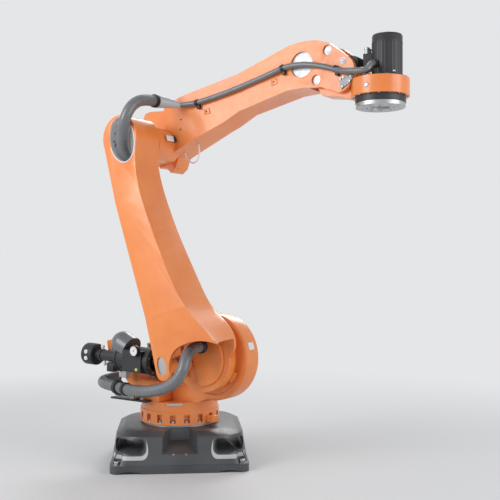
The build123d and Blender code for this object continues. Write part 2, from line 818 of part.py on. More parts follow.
# Wrist housing: a tongue in the arm's fork and a drum round the last axis
with BuildPart() as wrist_housing:
    with BuildSketch(level_plane(wrist_ahead + wrist_reach, 0, wrist_up + housing_low)):
        Circle(housing_radius)
        with BuildLine():
            Polyline(
                (0, housing_radius), (-shoulder_block, block_half), (-shoulder_block, -block_half),
                (0, -housing_radius), close=True,
            )
        make_face()
    extrude(amount=housing_top - housing_low)
    with BuildSketch(wrist.offset(-housing_radius)):
        Circle(cheek_clearance)
    extrude(amount=2 * housing_radius, mode=Mode.SUBTRACT)
    with BuildSketch(wrist.offset(-tongue_half)):
        Circle(tongue_radius)
        with BuildLine():
            Polyline(
                *scaled(tongue_top_shares, tongue_radius), (tongue_drop_share * tongue_radius, housing_top),
                (wrist_reach, housing_top), (wrist_reach, housing_low),
                (tongue_heel_share * tongue_radius, housing_low), *scaled(tongue_low_shares, tongue_radius),
                close=True,
            )
        make_face()
    extrude(amount=2 * tongue_half)
    with BuildSketch(wrist.offset(seat_gap - fork_half)):
        Circle(tongue_hub_radius)
    extrude(amount=2 * (fork_half - seat_gap))
write(wrist_housing, "wrist_housing")

# Last gear under the housing, the turning tool flange and the motor on top
last_axis = level_plane(wrist_ahead + wrist_reach, 0, wrist_up)
with BuildPart() as wrist_gear:
    with BuildSketch(last_axis.offset(housing_low)):
        Circle(gear_radius)
    extrude(amount=-gear_height)
write(wrist_gear, "wrist_gear")
with BuildPart() as tool_flange:
    with BuildSketch(last_axis.offset(flange_face)):
        Circle(flange_radius)
    extrude(amount=housing_low - gear_height - seat_gap - flange_face)
    with BuildSketch(last_axis.offset(flange_face)):
        Circle(flange_bore)
    extrude(amount=flange_recess, mode=Mode.SUBTRACT)
    with BuildSketch(last_axis.offset(flange_face)):
        with PolarLocations(flange_bolt_radius, flange_bolt_count):
            Circle(flange_bolt_hole / 2)
    extrude(amount=flange_recess, mode=Mode.SUBTRACT)
write(tool_flange, "tool_flange")
wrist_motor = build_motor(
    shifted(last_axis, wrist_motor_shift, -wrist_motor_side, housing_top), wrist_motor_radius,
    wrist_motor_height, motor_box_lift, wrist_motor_box_turn,
)
write(wrist_motor, "wrist_motor")

# Dark cover over the gear of the wrist joint
with BuildPart() as wrist_cover:
    with BuildSketch(shifted(wrist, cover_ahead, cover_up, -cover_half)):
        Circle(cover_radius)
    extrude(amount=2 * cover_half)
    with BuildSketch(shifted(wrist, cover_front, -cover_radius, -cover_half)):
        Rectangle(cover_radius, 4 * cover_radius, align=(Align.MIN, Align.CENTER))
    extrude(amount=2 * cover_half, mode=Mode.SUBTRACT)
    add(wrist_housing.part, mode=Mode.SUBTRACT)
write(wrist_cover, "wrist_cover")

# Side plate by the wrist joint
with BuildPart() as wrist_bracket:
    with BuildSketch(shifted(arm, arm_length, 0, arm_half_tip)):
        with BuildLine():
            Polyline(*scaled(wrist_bracket_shares, arm_half_tip), close=True)
        make_face()
    extrude(amount=bracket_thickness)
write(wrist_bracket, "wrist_bracket")

# Balancing cylinder: a barrel open at its front, a rear tube and its end cap
with BuildPart() as balancer_barrel:
    with BuildSketch(facing_along(barrel, barrel_back, 0, balancer_plane)):
        Circle(barrel_radius)
    extrude(amount=barrel_front - barrel_back)
    with BuildSketch(facing_along(barrel, barrel_front, 0, balancer_plane)):
        Circle(barrel_bore)
    extrude(amount=-bore_depth, mode=Mode.SUBTRACT)
    with BuildSketch(facing_along(barrel, barrel_back, 0, balancer_plane)):
        Circle(tube_radius)
    extrude(amount=-end_cap_back - barrel_back + end_cap_length)
    with BuildSketch(barrel.offset(balancer_plane - tube_radius - trunnion_collar)):
        Circle(trunnion_radius + trunnion_collar)
    extrude(amount=tube_radius + trunnion_collar)
write(balancer_barrel, "balancer_barrel")
with BuildPart() as barrel_end_cap:
    with BuildSketch(facing_along(barrel, end_cap_length - end_cap_back, 0, balancer_plane)):
        Circle(end_cap_radius)
    extrude(amount=-end_cap_length)
    chamfer(barrel_end_cap.edges(), horn_edge / 4)
write(barrel_end_cap, "barrel_end_cap")

# Valve block, accumulator and gauge on the barrel
with BuildPart() as valve_block:
    with BuildSketch(shifted(barrel, block_middle, 0, balancer_plane + block_depth_in)):
        with Locations((0, 0)):
            Rectangle(block_length, block_height)
    extrude(amount=barrel_radius + block_proud - block_depth_in)
    with BuildSketch(facing_along(barrel, barrel_back - overrun, 0, balancer_plane)):
        Circle(barrel_radius)
    extrude(amount=barrel_front - barrel_back + 2 * overrun, mode=Mode.SUBTRACT)
write(valve_block, "valve_block")
with BuildPart() as accumulator:
    tank = shifted(side_plane(accumulator_ahead, accumulator_up, accumulator_tilt), 0, 0, balancer_plane)
    dome_middle = -accumulator_length
    dome_share = cos(pi / 4)
    with BuildSketch(tank):
        with BuildLine():
            Polyline((dome_middle, 0), (0, 0), (0, accumulator_radius), (dome_middle, accumulator_radius))
            ThreePointArc(
                (dome_middle, accumulator_radius),
                (dome_middle - accumulator_radius * dome_share, accumulator_radius * dome_share),
                (dome_middle - accumulator_radius, 0),
            )
            Line((dome_middle - accumulator_radius, 0), (dome_middle, 0))
        make_face()
    revolve(axis=Axis(tank.origin, tank.x_dir))
    with BuildSketch(facing_along(barrel, barrel_back - side_gap, 0, balancer_plane)):
        Circle(barrel_radius)
    extrude(amount=barrel_front - barrel_back, mode=Mode.SUBTRACT)
    with BuildSketch(facing_along(barrel, barrel_back, 0, balancer_plane)):
        Circle(tube_radius)
    extrude(amount=-barrel_front, mode=Mode.SUBTRACT)
write(accumulator, "accumulator")
with BuildPart() as pressure_gauge:
    with BuildSketch(shifted(barrel, gauge_along, gauge_up, balancer_plane + barrel_radius + block_proud)):
        Circle(gauge_radius)
    extrude(amount=gauge_thickness)
write(pressure_gauge, "pressure_gauge")

# Piston rod with its eye on the link arm's pin
with BuildPart() as piston_rod:
    with BuildSketch(shifted(barrel, pin_distance, 0, balancer_plane - eye_half)):
        Circle(eye_radius)
    extrude(amount=2 * eye_half)
    with BuildSketch(facing_along(barrel, pin_distance, 0, balancer_plane)):
        Circle(rod_radius)
    extrude(amount=-rod_length)
    with BuildSketch(shifted(barrel, pin_distance, 0, balancer_plane - eye_half)):
        Circle(pin_diameter / 2 + seat_gap)
    extrude(amount=2 * eye_half, mode=Mode.SUBTRACT)
write(piston_rod, "piston_rod")

# Main hose on the column, from under the horn to the middle of the shoulder
lower_route = [
    (-300, 235, 520), (-345, 320, 510), (-300, 395, 500), (-180, 425, 494), (-60, 450, 490), (60, 478, 490),
    (180, 500, 500), (300, 508, 525), (395, 508, 572), (440, 500, 638), (432, 462, 706),
    (405, 400, 742), (398, 330, 756),
    (398, 272, 756),
]
lower_points = [robot_point(*place) for place in lower_route]
with BuildPart() as lower_hose:
    with BuildLine() as lower_line:
        smooth_path(lower_points, "lower_hose")
    with BuildSketch(Plane(lower_line.line @ 0, z_dir=lower_line.line % 0)):
        Circle(main_hose_radius)
    sweep(transition=Transition.ROUND)
write(lower_hose, "lower_hose")
report_hose("lower hose", lower_line, lower_hose, main_hose_radius)

# Bracket on the horn with the ring that holds the main hose
ring_middle = robot_point(*[(a + b) / 2 for a, b in zip(lower_route[3], lower_route[4])])
ring_way = lower_points[4] - lower_points[3]
ring_outer = main_hose_radius + clip_wall
ring_near = (lower_route[3][1] + lower_route[4][1]) / 2
with BuildPart() as hose_bracket:
    with BuildSketch(Plane(ring_middle - ring_way.normalized() * (clip_width / 2), z_dir=ring_way)):
        Circle(ring_outer)
    extrude(amount=clip_width)
    arm_seat = level_plane(bracket_reach, horn_near, ring_middle.Z - ring_outer - bracket_wall / 2)
    with BuildSketch(arm_seat):
        Rectangle(2 * clip_width, ring_near - horn_near, align=(Align.CENTER, Align.MAX))
    extrude(amount=bracket_wall)
    with BuildSketch(side_plane(bracket_reach, ring_middle.Z - ring_outer).offset(horn_near)):
        Rectangle(2 * clip_width, bracket_foot)
    extrude(amount=bracket_wall)
    with BuildSketch(Plane(ring_middle - ring_way.normalized() * clip_width, z_dir=ring_way)):
        Circle(main_hose_radius + seat_gap)
    extrude(amount=2 * clip_width, mode=Mode.SUBTRACT)
write(hose_bracket, "hose_bracket")

# Main hose over the elbow, held by the arm
upper_route = [
    (-45, -80, 455), (-36, -38, 478), (2, 2, 508), (52, 45, 540), (108, 108, 556), (140, 170, 515),
    (150, 212, 420),
    (152, 215, 310),
]
upper_points = [arm.from_local_coords(place) for place in upper_route]
with BuildPart() as upper_hose:
    with BuildLine() as upper_line:
        smooth_path(upper_points, "upper_hose")
    with BuildSketch(Plane(upper_line.line @ 0, z_dir=upper_line.line % 0)):
        Circle(main_hose_radius)
    sweep(transition=Transition.ROUND)
write(upper_hose, "upper_hose")
report_hose("upper hose", upper_line, upper_hose, main_hose_radius)

# Thin hose along the arm's near face to the wrist motor
thin_route = [
    (222, 186, 184), (290, 166, 172), (357, 160, 156), (496, 152, 136), (637, 152, 118),
    (760, 148, 118), (880, 146, 118),
    (951, 148, 118), (1036, 129, 118), (1121, 95, 118), (1201, 49, 118), (1273, 4, 118), (1334, -30, 118),
]
thin_end_route = [(124, 6, 106), (140, 30, 78), (145, 50, 57), (146, 55, 36)]
thin_points = [arm.from_local_coords(place) for place in thin_route]
thin_points += [wrist.from_local_coords(place) for place in thin_end_route]
with BuildPart() as thin_hose:
    with BuildLine() as thin_line:
        smooth_path(thin_points, "thin_hose")
    with BuildSketch(Plane(thin_line.line @ 0, z_dir=thin_line.line % 0)):
        Circle(thin_hose_radius)
    sweep(transition=Transition.ROUND)
write(thin_hose, "thin_hose")
report_hose("thin hose", thin_line, thin_hose, thin_hose_radius)

# Sensor cable in a loop under the arm's root
cable_route = [
    (96, -66, 60), (97, -92, 60), (112, -124, 60), (142, -150, 60), (177, -147, 60),
    (203, -117, 60), (211, -80, 60),
    (212, -48, 60),
]
cable_points = [arm.from_local_coords(place) for place in cable_route]
with BuildPart() as service_cable:
    with BuildLine() as cable_line:
        smooth_path(cable_points, "service_cable")
    with BuildSketch(Plane(cable_line.line @ 0, z_dir=cable_line.line % 0)):
        Circle(cable_radius)
    sweep(transition=Transition.ROUND)
    add(arm_casting.part, mode=Mode.SUBTRACT)
write(service_cable, "service_cable")
report_hose("service cable", cable_line, service_cable, cable_radius)

# Grey sleeve where the main hose narrows to the thin one
sleeve_start = upper_points[-1]
sleeve_end = thin_points[0]
sleeve_way = sleeve_end - sleeve_start
with BuildPart() as hose_sleeve:
    with BuildSketch(Plane(sleeve_start, z_dir=sleeve_way)):
        Circle(main_hose_radius + sleeve_wall)
    with BuildSketch(Plane(sleeve_end, z_dir=sleeve_way)):
        Circle(thin_hose_radius + sleeve_wall)
    loft()
    add(upper_hose.part, mode=Mode.SUBTRACT)
    add(thin_hose.part, mode=Mode.SUBTRACT)
write(hose_sleeve, "hose_sleeve")
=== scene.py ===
"""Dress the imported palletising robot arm: castings, motors, hoses and fasteners in a plain studio."""
from __future__ import annotations

import logging
import math
from dataclasses import dataclass
from enum import Enum
from typing import Sequence

import bmesh
import bpy
from mathutils import Matrix, Vector
from mathutils.bvhtree import BVHTree


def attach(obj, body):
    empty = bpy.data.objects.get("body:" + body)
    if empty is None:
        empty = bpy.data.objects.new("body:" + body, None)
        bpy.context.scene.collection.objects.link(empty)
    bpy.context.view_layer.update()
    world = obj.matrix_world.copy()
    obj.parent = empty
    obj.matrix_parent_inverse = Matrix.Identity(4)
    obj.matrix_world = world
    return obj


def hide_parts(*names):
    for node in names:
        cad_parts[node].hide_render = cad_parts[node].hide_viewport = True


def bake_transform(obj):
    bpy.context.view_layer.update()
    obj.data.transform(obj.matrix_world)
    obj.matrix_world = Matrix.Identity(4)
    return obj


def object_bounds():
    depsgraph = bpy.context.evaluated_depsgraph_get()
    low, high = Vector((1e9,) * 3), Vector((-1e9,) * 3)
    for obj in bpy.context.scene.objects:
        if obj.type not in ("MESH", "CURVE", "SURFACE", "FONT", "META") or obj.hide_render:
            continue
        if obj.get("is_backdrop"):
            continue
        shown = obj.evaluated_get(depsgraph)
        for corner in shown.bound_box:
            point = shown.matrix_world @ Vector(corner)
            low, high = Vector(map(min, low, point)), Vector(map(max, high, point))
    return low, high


LOG = logging.getLogger("robot_arm")
MM = 0.001
Outline = Sequence[tuple[float, float]]
Place = tuple[float, float, float]
Colour = tuple[float, float, float]
Shape = bmesh.types.BMesh
Socket = bpy.types.NodeSocket


class Facing(Enum):
    """The way a piece's own z axis points in a frame."""

    NEAR = "near"
    FAR = "far"
    UP = "up"
    DOWN = "down"
    AHEAD = "ahead"


@dataclass(frozen=True)
class Frame:
    """A right-handed frame on the machine, in metres, with its x ahead, y up and z near."""

    origin: Vector
    ahead: Vector
    up: Vector
    near: Vector

    def at(self, x: float, y: float, near: float) -> Vector:
        """Turn local millimetres into a place in the row frame."""
        return self.origin + (self.ahead * x + self.up * y + self.near * near) * MM

    def seat(self, x: float, y: float, near: float, way: Facing = Facing.NEAR, turn: float = 0.0) -> Matrix:
        """Give the matrix that seats a shape made in millimetres.

        Args:
            x, y, near: The shape's own origin, in local millimetres.
            way: Where the shape's z axis points.
            turn: Turn about that axis, in degrees.

        Returns:
            A matrix from the shape's millimetres to the row frame's metres.
        """
        side, rise, face = {
            Facing.NEAR: (self.ahead, self.up, self.near),
            Facing.FAR: (-self.ahead, self.up, -self.near),
            Facing.UP: (self.ahead, -self.near, self.up),
            Facing.DOWN: (self.ahead, self.near, -self.up),
            Facing.AHEAD: (-self.near, self.up, self.ahead),
        }[way]
        basis = Matrix((side, rise, face)).transposed().to_4x4()
        place = Matrix.Translation(self.at(x, y, near)) @ basis
        return place @ Matrix.Rotation(math.radians(turn), 4, "Z") @ Matrix.Scale(MM, 4)

    def tilted(self, x: float, y: float, tilt: float) -> Frame:
        """Give the frame at a local place, tilted by some degrees about the near axis."""
        rise = math.radians(tilt)
        ahead = self.ahead * math.cos(rise) + self.up * math.sin(rise)
        up = self.up * math.cos(rise) - self.ahead * math.sin(rise)
        return Frame(self.at(x, y, 0.0), ahead, up, self.near)


STANCE_TURN = 40.0
LINK_LEAN = 15.8
ARM_RISE = 14.4
LINK_LENGTH = 1350.0
ARM_LENGTH = 1250.0
SHOULDER = (350.0, 675.0)
TRUNNION = (-300.0, 660.0)
PIN_RADIUS = 115.0
BALANCER_PLANE = 330.0


def stance_frame() -> Frame:
    """Give the turned robot's frame, with its origin on the floor under the first axis."""
    turn = math.radians(STANCE_TURN)
    return Frame(
        Vector((0, 0, 0)),
        Vector((math.cos(turn), -math.sin(turn), 0)),
        Vector((0, 0, 1)),
        Vector((-math.sin(turn), -math.cos(turn), 0)),
    )


GROUND = Frame(Vector((0, 0, 0)), Vector((1, 0, 0)), Vector((0, 0, 1)), Vector((0, -1, 0)))
ROBOT = stance_frame()
LINK = ROBOT.tilted(*SHOULDER, LINK_LEAN)
ELBOW = (
    SHOULDER[0] - LINK_LENGTH * math.sin(math.radians(LINK_LEAN)),
    SHOULDER[1] + LINK_LENGTH * math.cos(math.radians(LINK_LEAN)),
)
ARM = ROBOT.tilted(*ELBOW, ARM_RISE)
WRIST_PIVOT = (
    ELBOW[0] + ARM_LENGTH * math.cos(math.radians(ARM_RISE)),
    ELBOW[1] + ARM_LENGTH * math.sin(math.radians(ARM_RISE)),
)
WRIST = ROBOT.tilted(*WRIST_PIVOT, 0.0)
PIN = (
    SHOULDER[0] - PIN_RADIUS * math.cos(math.radians(LINK_LEAN)),
    SHOULDER[1] - PIN_RADIUS * math.sin(math.radians(LINK_LEAN)),
)
BARREL = ROBOT.tilted(*TRUNNION, math.degrees(math.atan2(PIN[1] - TRUNNION[1], PIN[0] - TRUNNION[0])))


class Surface(Enum):
    """How a finish is laid on: what its small relief looks like."""

    CAST = "cast"
    TURNED = "turned"
    MOULDED = "moulded"
    RIBBED = "ribbed"
    SATIN = "satin"


@dataclass(frozen=True)
class Finish:
    """One finish of the machine, built once as a procedural material."""

    name: str
    slot: str
    color: Colour
    shade: Colour
    surface: Surface
    roughness: float
    metallic: float = 0.0
    coat: float = 0.0
    relief: float = 0.3

    def material(self) -> bpy.types.Material:
        """Return the finish's material, made on first use."""
        made = bpy.data.materials.get(self.name)
        return made if made else self._make()

    def _make(self) -> bpy.types.Material:
        """Build the node tree on Object coordinates."""
        material = bpy.data.materials.new(self.name)
        material.use_nodes = True
        nodes = material.node_tree.nodes
        links = material.node_tree.links
        shader = nodes["Principled BSDF"]
        shader.inputs["Metallic"].default_value = self.metallic
        shader.inputs["Coat Weight"].default_value = self.coat
        shader.inputs["Coat Roughness"].default_value = 0.18
        where = nodes.new("ShaderNodeTexCoord").outputs["Object"]
        broad = self._noise(material.node_tree, where, scale=4.0, detail=4.0)
        tint = nodes.new("ShaderNodeMix")
        tint.data_type = "RGBA"
        tint.inputs["A"].default_value = (*self.color, 1)
        tint.inputs["B"].default_value = (*self.shade, 1)
        links.new(self._range(material.node_tree, broad, 0.42, 0.68, 0.0, 1.0), tint.inputs["Factor"])
        links.new(tint.outputs["Result"], shader.inputs["Base Color"])
        smear = self._noise(material.node_tree, where, scale=38.0, detail=5.0)
        least, most = self.roughness - 0.07, self.roughness + 0.09
        links.new(self._range(material.node_tree, smear, 0.3, 0.7, least, most), shader.inputs["Roughness"])
        bump = nodes.new("ShaderNodeBump")
        bump.inputs["Strength"].default_value = self.relief
        bump.inputs["Distance"].default_value = 0.0008
        links.new(self._relief(material.node_tree, where), bump.inputs["Height"])
        links.new(bump.outputs["Normal"], shader.inputs["Normal"])
        return material

    def _relief(self, tree: bpy.types.NodeTree, where: Socket) -> Socket:
        """Return the height socket of the finish's small relief."""
        if self.surface is Surface.MOULDED:
            cells = tree.nodes.new("ShaderNodeTexVoronoi")
            cells.inputs["Scale"].default_value = 320.0
            tree.links.new(where, cells.inputs["Vector"])
            return cells.outputs["Distance"]
        scale, detail = {
            Surface.CAST: (210.0, 7.0),
            Surface.TURNED: (600.0, 2.0),
            Surface.RIBBED: (420.0, 3.0),
            Surface.SATIN: (120.0, 3.0),
        }[self.surface]
        return self._noise(tree, where, scale, detail)

    @staticmethod
    def _noise(tree: bpy.types.NodeTree, where: Socket, scale: float, detail: float) -> Socket:
        """Add a noise texture and return its value."""
        noise = tree.nodes.new("ShaderNodeTexNoise")
        noise.inputs["Scale"].default_value = scale
        noise.inputs["Detail"].default_value = detail
        tree.links.new(where, noise.inputs["Vector"])
        return noise.outputs["Fac"]

    @staticmethod
    def _range(
        tree: bpy.types.NodeTree, value: Socket, low: float, high: float, to_low: float, to_high: float
    ) -> Socket:
        """Map a value's span to another and return it."""
        span = tree.nodes.new("ShaderNodeMapRange")
        for socket, number in zip(("From Min", "From Max", "To Min", "To Max"), (low, high, to_low, to_high)):
            span.inputs[socket].default_value = number
        tree.links.new(value, span.inputs["Value"])
        return span.outputs["Result"]


ORANGE = Finish(
    "orange_casting", "orange_paint", (0.86, 0.265, 0.062), (0.80, 0.215, 0.045),
    Surface.CAST, 0.36, coat=0.35, relief=0.35,
)
DARK_CAST = Finish(
    "dark_casting", "dark_paint", (0.070, 0.073, 0.079), (0.048, 0.051, 0.056),
    Surface.CAST, 0.44, coat=0.15, relief=0.5,
)
MOTOR_BLACK = Finish(
    "motor_black", "motor_black", (0.030, 0.031, 0.034), (0.020, 0.021, 0.023),
    Surface.SATIN, 0.38, coat=0.1,
)
MOULDED_BLACK = Finish(
    "moulded_black", "motor_black", (0.022, 0.023, 0.026), (0.016, 0.017, 0.02),
    Surface.MOULDED, 0.5,
)
STEEL = Finish(
    "turned_steel", "steel", (0.46, 0.47, 0.48), (0.38, 0.39, 0.40),
    Surface.TURNED, 0.38, metallic=1.0, relief=0.15,
)
ZINC = Finish(
    "zinc_fasteners", "steel", (0.44, 0.45, 0.46), (0.34, 0.35, 0.36),
    Surface.SATIN, 0.36, metallic=1.0, relief=0.15,
)
BLACK_STEEL = Finish(
    "black_fasteners", "motor_black", (0.045, 0.045, 0.048), (0.03, 0.03, 0.032),
    Surface.SATIN, 0.42, metallic=0.6,
)
GREY_PAINT = Finish(
    "grey_paint", "cast_grey", (0.17, 0.18, 0.195), (0.11, 0.12, 0.135),
    Surface.CAST, 0.30, coat=0.4,
)
PALE_GREY = Finish("pale_lip", "sleeve_grey", (0.55, 0.56, 0.57), (0.47, 0.48, 0.49), Surface.SATIN, 0.4)
HOSE = Finish(
    "hose_jacket", "hose_grey", (0.150, 0.158, 0.170), (0.115, 0.121, 0.132),
    Surface.RIBBED, 0.30, coat=0.6,
)
SLEEVE = Finish(
    "grey_sleeve", "sleeve_grey", (0.50, 0.51, 0.53), (0.42, 0.43, 0.45),
    Surface.RIBBED, 0.36, coat=0.3,
)
WHITE = Finish("white_plate", "liner_white", (0.80, 0.81, 0.82), (0.74, 0.75, 0.77), Surface.SATIN, 0.42)
DIAL = Finish("dial_face", "gauge_face", (0.82, 0.82, 0.80), (0.78, 0.78, 0.76), Surface.SATIN, 0.3)
LIME = Finish("lime_cap", "gauge_face", (0.62, 0.72, 0.10), (0.55, 0.65, 0.08), Surface.MOULDED, 0.42)
COVER = Finish(
    "steel_cover", "steel", (0.46, 0.47, 0.49), (0.36, 0.37, 0.39),
    Surface.TURNED, 0.46, metallic=0.7, relief=0.3,
)


def turned(profile: Outline, segments: int = 48) -> Shape:
    """Spin a profile of (radius, height) millimetres about z.

    Args:
        profile: The profile from one end on the axis to the other.
        segments: Steps in the full turn.

    Returns:
        A closed shape, its normals outward.
    """
    shape = bmesh.new()
    points = [shape.verts.new((radius, 0.0, height)) for radius, height in profile]
    edges = [shape.edges.new(pair) for pair in zip(points, points[1:])]
    bmesh.ops.spin(
        shape, geom=points + edges, axis=(0, 0, 1), cent=(0, 0, 0), angle=math.tau, steps=segments,
        use_merge=True,
    )
    bmesh.ops.remove_doubles(shape, verts=shape.verts, dist=0.001)
    bmesh.ops.recalc_face_normals(shape, faces=shape.faces)
    return shape


def prism(outline: Outline, height: float, edge: float = 0.0, segments: int = 2) -> Shape:
    """Extrude a flat outline upward and round its edges.

    Args:
        outline: Corners in order, in millimetres.
        height: Extruded height.
        edge: Width of the rounding on all edges.
        segments: Steps in the rounding.

    Returns:
        A closed shape standing on z = 0.
    """
    shape = bmesh.new()
    face = shape.faces.new([shape.verts.new((x, y, 0.0)) for x, y in outline])
    raised = bmesh.ops.extrude_face_region(shape, geom=[face])
    top = [part for part in raised["geom"] if isinstance(part, bmesh.types.BMVert)]
    bmesh.ops.translate(shape, verts=top, vec=(0, 0, height))
    bmesh.ops.recalc_face_normals(shape, faces=shape.faces)
    if edge:
        bmesh.ops.bevel(
            shape, geom=list(shape.edges), offset=edge, offset_type="OFFSET", affect="EDGES",
            segments=segments, profile=0.5, material=-1, clamp_overlap=True,
        )
    return shape


def block(width: float, depth: float, height: float, edge: float = 2.0) -> Shape:
    """A block standing on z = 0 with rounded edges."""
    corners = [(x * width / 2, y * depth / 2) for x, y in ((-1, -1), (1, -1), (1, 1), (-1, 1))]
    return prism(corners, height, edge)


def rounded_outline(width: float, height: float, radius: float, steps: int = 6) -> list[tuple[float, float]]:
    """Give a rounded rectangle's outline about the origin."""
    outline = []
    for corner in range(4):
        turn = corner * math.pi / 2
        middle_x = (width / 2 - radius) * (1 if corner in (0, 3) else -1)
        middle_y = (height / 2 - radius) * (1 if corner in (0, 1) else -1)
        for step in range(steps + 1):
            angle = turn + step / steps * math.pi / 2
            outline.append((middle_x + radius * math.cos(angle), middle_y + radius * math.sin(angle)))
    return outline


def ribbed_outline(radius: float, depth: float, ribs: int) -> list[tuple[float, float]]:
    """Give the outline of a round casing with ribs along it."""
    outline = []
    for step in range(ribs * 4):
        reach = radius if step % 4 < 2 else radius - depth
        angle = step / (ribs * 4) * math.tau
        outline.append((reach * math.cos(angle), reach * math.sin(angle)))
    return outline


def cap_screw(radius: float, height: float) -> Shape:
    """A socket-head screw's head on z = 0, with its hexagon socket."""
    edge = 0.8
    profile = [(0, 0), (radius, 0), (radius, height - edge), (radius - edge, height), (radius * 0.62, height)]
    shape = turned(profile, 24)
    rim = [edge for edge in shape.edges if edge.is_boundary]
    lowered = bmesh.ops.extrude_edge_only(shape, edges=rim)
    sunk = [part for part in lowered["geom"] if isinstance(part, bmesh.types.BMVert)]
    bmesh.ops.translate(shape, verts=sunk, vec=(0, 0, -height * 0.55))
    bmesh.ops.holes_fill(shape, edges=[edge for edge in shape.edges if edge.is_boundary])
    bmesh.ops.recalc_face_normals(shape, faces=shape.faces)
    return shape


def hex_bolt(radius: float, height: float) -> Shape:
    """A hexagon bolt head on its washer."""
    shape = turned([(0, 0), (radius * 1.35, 0), (radius * 1.35, height * 0.16), (0, height * 0.16)], 28)
    head = bmesh.new()
    bmesh.ops.create_cone(
        head, cap_ends=True, segments=6, radius1=radius, radius2=radius, depth=height * 0.84,
        matrix=Matrix.Translation((0, 0, height * 0.58)),
    )
    bmesh.ops.bevel(
        head, geom=list(head.edges), offset=radius * 0.08, affect="EDGES", segments=2, profile=0.5,
        material=-1,
    )
    return joined(shape, head)


def joined(first: Shape, second: Shape) -> Shape:
    """Add the second shape to the first and free it."""
    carrier = bpy.data.meshes.new("carrier")
    second.to_mesh(carrier)
    second.free()
    first.from_mesh(carrier)
    bpy.data.meshes.remove(carrier)
    return first


def placed(name: str, data: bpy.types.ID) -> bpy.types.Object:
    """Make an object of some data and link it into the scene."""
    thing = bpy.data.objects.new(name, data)
    bpy.context.scene.collection.objects.link(thing)
    return thing


def mesh_object(name: str, shape: Shape) -> bpy.types.Object:
    """Make a linked mesh object of a shape and free the shape."""
    data = bpy.data.meshes.new(name)
    shape.to_mesh(data)
    shape.free()
    return placed(name, data)


class Piece:
    """One piece of the machine in the making: shapes are added at their seats."""

    def __init__(self, name: str, body: str, finish: Finish) -> None:
        """Start an empty piece that rides on a body."""
        self.name = name
        self.body = body
        self.finish = finish
        self.mesh = bmesh.new()

    def add(self, shape: Shape, *seats: Matrix) -> Piece:
        """Place copies of a shape at the seats and free it."""
        for seat in seats:
            copy = shape.copy()
            copy.transform(seat)
            joined(self.mesh, copy)
        shape.free()
        return self

    def done(self, *replaced: str, sharp: float = 32.0) -> bpy.types.Object:
        """Make the object, dress it and let it ride.

        Args:
            replaced: CAD nodes that the piece stands for.
            sharp: Angle in degrees past which an edge stays sharp.

        Returns:
            The finished object.
        """
        return dress(mesh_object(self.name, self.mesh), self.body, self.finish, *replaced, sharp=sharp)


def dress(
    thing: bpy.types.Object, body: str, finish: Finish, *replaced: str, sharp: float = 32.0
) -> bpy.types.Object:
    """Give an object its finish, smooth shading and body.

    Args:
        thing: The object.
        body: The body it rides on, or an empty text where it rides on none.
        finish: Its finish.
        replaced: CAD nodes that it stands for.
        sharp: Angle in degrees past which an edge stays sharp.

    Returns:
        The same object.
    """
    thing.data.polygons.foreach_set("use_smooth", [True] * len(thing.data.polygons))
    thing.data.set_sharp_from_angle(angle=math.radians(sharp))
    thing.data.materials.clear()
    thing.data.materials.append(finish.material())
    if replaced:
        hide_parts(*replaced)
    if body:
        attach(thing, body)
    LOG.info("%s rides on %s in %s", thing.name, body or "two bodies", finish.name)
    return thing


def carry(finish: Finish, *nodes: str) -> None:
    """Give CAD nodes that stay their finish."""
    for node in nodes:
        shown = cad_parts[node]
        for place in shown.material_slots:
            place.material = finish.material()
        LOG.info("%s keeps its CAD shape in %s", node, finish.name)


def soften(node: str, body: str, finish: Finish, width: float, sharp: float = 28.0) -> bpy.types.Object:
    """Stand in for a CAD casting with a copy whose edges are rounded as cast edges are.

    Args:
        node: The CAD node.
        body: The body it rides on.
        finish: Its finish.
        width: Width of the rounded edges, in millimetres.
        sharp: Angle in degrees past which an edge is rounded.

    Returns:
        The new object.
    """
    shape = bmesh.new()
    shape.from_mesh(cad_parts[node].data)
    bmesh.ops.remove_doubles(shape, verts=shape.verts, dist=0.00002)
    bmesh.ops.dissolve_limit(
        shape, angle_limit=math.radians(0.6), verts=shape.verts, edges=shape.edges,
        use_dissolve_boundaries=False,
    )
    thing = mesh_object(f"{node}_cast", shape)
    rounding = thing.modifiers.new("cast_edges", "BEVEL")
    rounding.width = width * MM
    rounding.segments = 3
    rounding.limit_method = "ANGLE"
    rounding.angle_limit = math.radians(sharp)
    rounding.harden_normals = True
    return dress(thing, body, finish, node, sharp=60.0)


